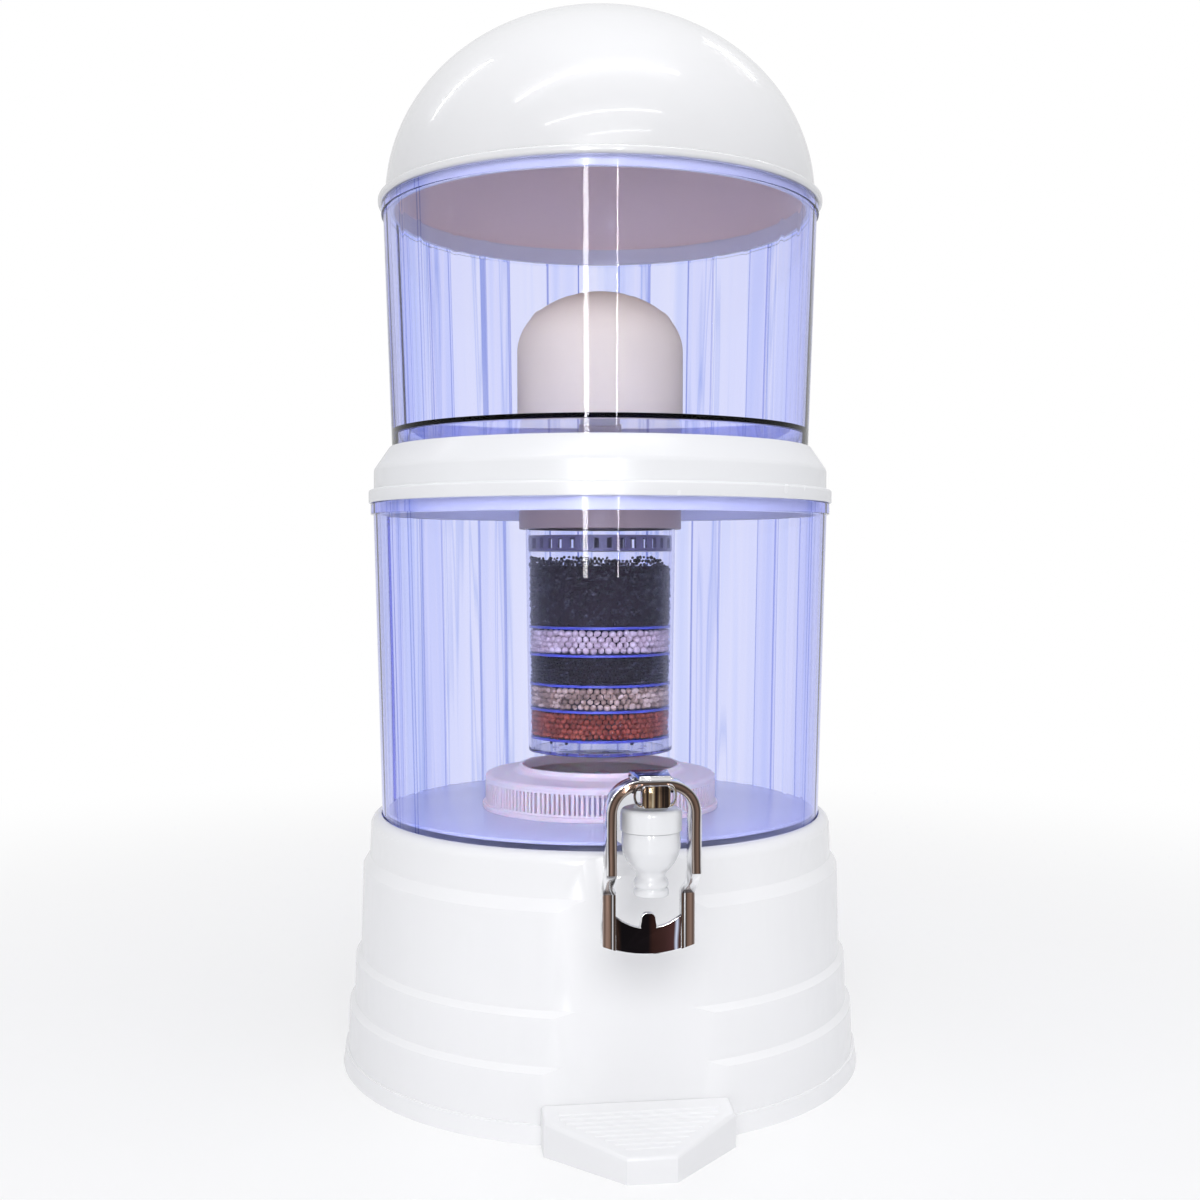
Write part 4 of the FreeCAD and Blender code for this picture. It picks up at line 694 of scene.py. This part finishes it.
tap_y = -0.186
tap_white = white_moulding("tap_white_abs", (0.83, 0.835, 0.85), 0.16, 600.0)
spout = spun([
    (4.2, 133.5, 0.3), (8.2, 133.5, 0.9), (8.2, 136.4, 0.9), (7.2, 137.2, 0.4), (8.1, 138.2, 0.7),
    (8.1, 140.2, 0.9), (6.8, 142.0, 0.8), (6.8, 144.3, 1.6), (12.5, 149.8, 5.2),
    (13.9, 157.0, 4.0), (13.4, 163.6, 0.4), (11.3, 163.6), (11.3, 169.3), (9.4, 169.3),
    (9.4, 155.7), (4.2, 150.5)], 96)
bmesh.ops.translate(spout, vec=(0, tap_y, 0), verts=spout.verts)
piece("tap_bulb", spout, "lower_tank", tap_white, ("tap_body",))
shank = bmesh.new()
for radius, start, end, height, edge in (
        (5.6, -177.0, -134.0, 157.5, 0.2), (14.0, -135.0, -132.0, 159.5, 0.8),
        (8.0, -132.2, -110.6, 159.5, 0.6)):
    part = spun([(0.0, start), (radius, start, edge), (radius, end, edge), (0.0, end)], 64)
    bmesh.ops.rotate(part, cent=(0, 0, 0), matrix=Matrix.Rotation(-math.pi / 2, 3, "X"),
                     verts=part.verts)
    bmesh.ops.translate(part, vec=(0, 0, height / 1000), verts=part.verts)
    joined_in(shank, part)
piece("tap_arm", shank, "lower_tank", tap_white)
bonnet = spun([
    (2.3, 170.3), (11.5, 170.3), (11.5, 163.8), (14.3, 163.8, 0.4), (14.3, 174.3, 2.4),
    (8.3, 174.3, 0.3), (7.6, 175.7, 0.5), (6.0, 175.7, 0.4), (5.4, 174.3), (2.3, 174.3)], 96)
bmesh.ops.translate(bonnet, vec=(0, tap_y, 0), verts=bonnet.verts)
piece("bonnet_cap", bonnet, "lower_tank", tap_white, ("tap_bonnet",))
dress("tap_nut", fitting_white)
steel_finish = Finish("drawn_steel")
steel = steel_finish.show(steel_finish.node("BsdfPrincipled", {
    "Base Color": steel_finish.between(steel_finish.noise(140.0), (0.50, 0.50, 0.51),
                                       (0.62, 0.62, 0.63)),
    "Metallic": 1.0, "Roughness": 0.24 + steel_finish.noise(300.0) * 0.12}))
for name in ("plunger_stem", "plunger_spring", "lever_pin"):
    dress(name, steel)


# Lever: a die-cast frame in bright chrome that straddles the tap, steps back under it and
# carries a dark push plate. The room's reflections are painted into its front faces as
# brown and black streaks.


def chrome(name, tone):
    """Bright metal with the room's reflections in its own tones."""
    finish = Finish(name)
    return finish.show(finish.node("BsdfPrincipled", {
        "Base Color": tone(finish), "Metallic": 1.0,
        "Roughness": 0.07 + finish.noise(220.0) * 0.05}))


def bright_reflection_tone(finish):
    """Painted reflections: white and pale grey, with the blue of the tank on the top."""
    high = finish.axes(finish.place())[2]
    tone = finish.node("ValToRGB", {0: finish.noise(90.0, 1.0)}, stops=[
        (0.36, (0.20, 0.19, 0.20)), (0.46, (0.74, 0.74, 0.76)), (0.60, (0.93, 0.93, 0.95))])
    blue = finish.node("ValToRGB", {0: finish.noise(160.0, 1.0)}, stops=[
        (0.40, (0.06, 0.11, 0.36)), (0.55, (0.16, 0.25, 0.62)), (0.70, (0.55, 0.62, 0.90))])
    return finish.between(high > 0.1893, tone, blue)


def streaked_reflection_tone(finish):
    """Painted reflections: brown and black streaks that run along the bars and over the arch."""
    across, deep, high = finish.axes(finish.place())
    out = (abs(across) - 0.0064).maths("MAXIMUM", 0.0)
    over = (high - 0.1727).maths("MAXIMUM", 0.0)
    reach = ((out * out + over * over) ** 0.5 - 0.0092) / 0.0063
    shiver = (finish.noise(70.0, 1.0) - 0.5) * 0.10
    upper = finish.node("ValToRGB", {0: reach + shiver}, stops=[
        (0.27, (0.02, 0.015, 0.014)), (0.36, (0.40, 0.34, 0.31)), (0.46, (0.04, 0.026, 0.02)),
        (0.70, (0.20, 0.13, 0.10)), (0.86, (0.03, 0.02, 0.018)), (0.96, (0.75, 0.74, 0.75))])
    lower = finish.node("ValToRGB", {0: reach}, stops=[
        (0.00, (0.12, 0.075, 0.05)), (0.16, (0.02, 0.015, 0.015)), (0.24, (0.72, 0.71, 0.73)),
        (0.31, (0.015, 0.012, 0.012)), (0.45, (0.16, 0.10, 0.075)), (0.70, (0.25, 0.165, 0.13)),
        (0.85, (0.10, 0.065, 0.05)), (1.00, (0.36, 0.30, 0.28))])
    upright = finish.node("CombineXYZ", {0: across * 520.0, 1: 0.0, 2: high * 8.0})
    block = finish.node("ValToRGB", {0: finish.noise(1.0, 1.0, upright)}, stops=[
        (0.34, (0.02, 0.014, 0.012)), (0.46, (0.12, 0.075, 0.05)), (0.56, (0.26, 0.20, 0.12)),
        (0.66, (0.50, 0.44, 0.34))])
    bars = finish.between(high < 0.1325, upper, lower)
    return finish.between((deep < -0.1975) * (high > 0.170), bars, block)


def plate_reflection_tone(finish):
    """Painted reflections: black at the left, deep red-brown at the right, with one pale painted
    highlight near the bar.
    """
    across = finish.axes(finish.place())[0]
    sway = (finish.noise(60.0, 1.0) - 0.5) * 0.06
    return finish.node("ValToRGB", {0: (across + 0.0165) / 0.033 + sway}, stops=[
        (0.00, (0.035, 0.018, 0.012)), (0.10, (0.006, 0.005, 0.006)), (0.50, (0.008, 0.006, 0.007)),
        (0.56, (0.030, 0.013, 0.011)), (0.74, (0.045, 0.020, 0.018)), (0.87, (0.07, 0.03, 0.03)),
        (0.905, (0.60, 0.65, 0.82)), (0.94, (0.07, 0.035, 0.03))])


def eased(bm, round_mm):
    """Merge, turn outward and round every sharp edge."""
    bmesh.ops.remove_doubles(bm, verts=bm.verts, dist=0.000005)
    bmesh.ops.recalc_face_normals(bm, faces=bm.faces)
    sharp = [edge for edge in bm.edges if edge.is_manifold
             and edge.calc_face_angle(0) > math.radians(30)]
    bmesh.ops.bevel(bm, geom=sharp, offset=round_mm / 1000, affect="EDGES",
                    segments=3, profile=0.5, material=-1)
    return bm


step_low, step_high = 0.1323, 0.145


def slab(outline, front, back):
    """A flat outline of (across, height, rounding) in mm, from front to back, cut for the step."""
    bm = bmesh.new()
    verts = [bm.verts.new((point[0] / 1000, front / 1000, point[1] / 1000)) for point in outline]
    for index in range(len(verts)):
        bm.edges.new((verts[index - 1], verts[index]))
    for vert, point in zip(verts, outline):
        if len(point) == 3:
            bmesh.ops.bevel(bm, geom=[vert], offset=point[2] / 1000, affect="VERTICES",
                            segments=10, profile=0.5, material=-1)
    bmesh.ops.contextual_create(bm, geom=bm.edges[:])
    for height in (step_low, step_high):
        bmesh.ops.bisect_plane(bm, geom=bm.verts[:] + bm.edges[:] + bm.faces[:],
                               plane_co=(0, 0, height), plane_no=(0, 0, 1))
    made = bmesh.ops.extrude_face_region(bm, geom=bm.faces[:])
    moved = [item for item in made["geom"] if isinstance(item, bmesh.types.BMVert)]
    bmesh.ops.translate(bm, vec=(0, (back - front) / 1000, 0), verts=moved)
    return bm, set(moved)


def brick(low, high, round_mm, taper=1.0):
    """A block between two corners in mm; a taper widens its back."""
    bm = bmesh.new()
    bmesh.ops.create_cube(bm, size=1.0)
    middle = [(a + b) / 2000 for a, b in zip(low, high)]
    bmesh.ops.scale(bm, vec=[(b - a) / 1000 for a, b in zip(low, high)], verts=bm.verts)
    bmesh.ops.scale(bm, vec=(taper, 1, 1), verts=[vert for vert in bm.verts if vert.co.y > 0])
    bmesh.ops.translate(bm, vec=middle, verts=bm.verts)
    return eased(bm, round_mm)


frame_outline = [(-21.9, 108.0), (-21.9, 188.2, 15.5), (21.9, 188.2, 15.5), (21.9, 108.0),
                 (15.6, 105.8), (15.6, 133.5), (17.3, 137.5), (17.3, 183.6, 10.9),
                 (-17.3, 183.6, 10.9), (-17.3, 137.5), (-15.6, 133.5), (-15.6, 105.8)]
lever, behind = slab(frame_outline, -196.0, -183.0)
for vert in lever.verts:
    drop = min(1.0, max(0.0, (step_high - vert.co.z) / (step_high - step_low)))
    if vert in behind:
        vert.co.y += 0.0097 * drop
        if abs(vert.co.x) < 0.0068 and vert.co.z > 0.17:
            vert.co.y = -0.1903
    else:
        vert.co.y += 0.0162 * drop
eased(lever, 0.4)
joined_in(lever, brick((-6.6, -201.6, 176.2), (6.6, -194.4, 186.6), 1.3))
joined_in(lever, brick((-7.4, -197.5, 188.0), (7.4, -177.6, 190.6), 0.7, 1.25))
for side in (-1, 1):
    cheek = side * 9.0
    joined_in(lever, brick((cheek - 0.7, -191.0, 181.5), (cheek + 0.7, -178.2, 188.6), 0.4))
    curl = bmesh.new()
    bmesh.ops.create_circle(curl, cap_ends=True, segments=16, radius=0.0009)
    bmesh.ops.rotate(curl, cent=(0, 0, 0), matrix=Matrix.Rotation(math.radians(90), 3, "Y"),
                     verts=curl.verts)
    bmesh.ops.translate(curl, vec=(0, 0, 0.0046), verts=curl.verts)
    bmesh.ops.spin(curl, geom=curl.verts[:] + curl.edges[:] + curl.faces[:], cent=(0, 0, 0),
                   axis=(0, 1, 0), angle=side * math.radians(185), steps=20)
    bmesh.ops.scale(curl, vec=(0.62, 1.6, 1.0), verts=curl.verts)
    bmesh.ops.translate(curl, vec=(side * 0.0066, -0.1972, 0.1815), verts=curl.verts)
    bmesh.ops.recalc_face_normals(curl, faces=curl.faces)
    joined_in(lever, curl)
# Faces turned to the front take the streaked painted reflections.
for face in lever.faces:
    face.material_index = 1 if face.normal.y < -0.7 else 0
bright = chrome("chrome_bright", bright_reflection_tone)
lever_frame = piece("lever_frame", lever, "lever", bright, ("tap_lever",))
lever_frame.data.materials.append(chrome("chrome_streaked_reflections", streaked_reflection_tone))
plate_half = 15.9
dip = [(1.3 * step - plate_half, 116.2 + (plate_half - 1.3 * step) ** 2 / 42.0)
       for step in range(10)]
tab = [(-4.3, 117.0), (-3.9, 118.9), (-3.6, 121.2), (-2.8, 122.7), (-1.4, 123.4)]
belly = [(3.18 * step - plate_half, 103.6 + 4.4 * ((plate_half - 3.18 * step) / 21.9) ** 2)
         for step in range(5)]
half = dip + tab
plate_outline = (half + [(-across, high) for across, high in reversed(half)]
                 + [(-across, high) for across, high in belly] + [(0.0, 103.6)]
                 + list(reversed(belly)))
plate = slab(plate_outline, -179.2, -176.4)[0]
eased(plate, 0.45)
# The plate's front face takes its painted reflections.
for face in plate.faces:
    face.material_index = 1 if face.normal.y < -0.97 else 0
plate_piece = piece("push_plate", plate, "lever", bright)
plate_piece.data.materials.append(chrome("chrome_plate_dark", plate_reflection_tone))
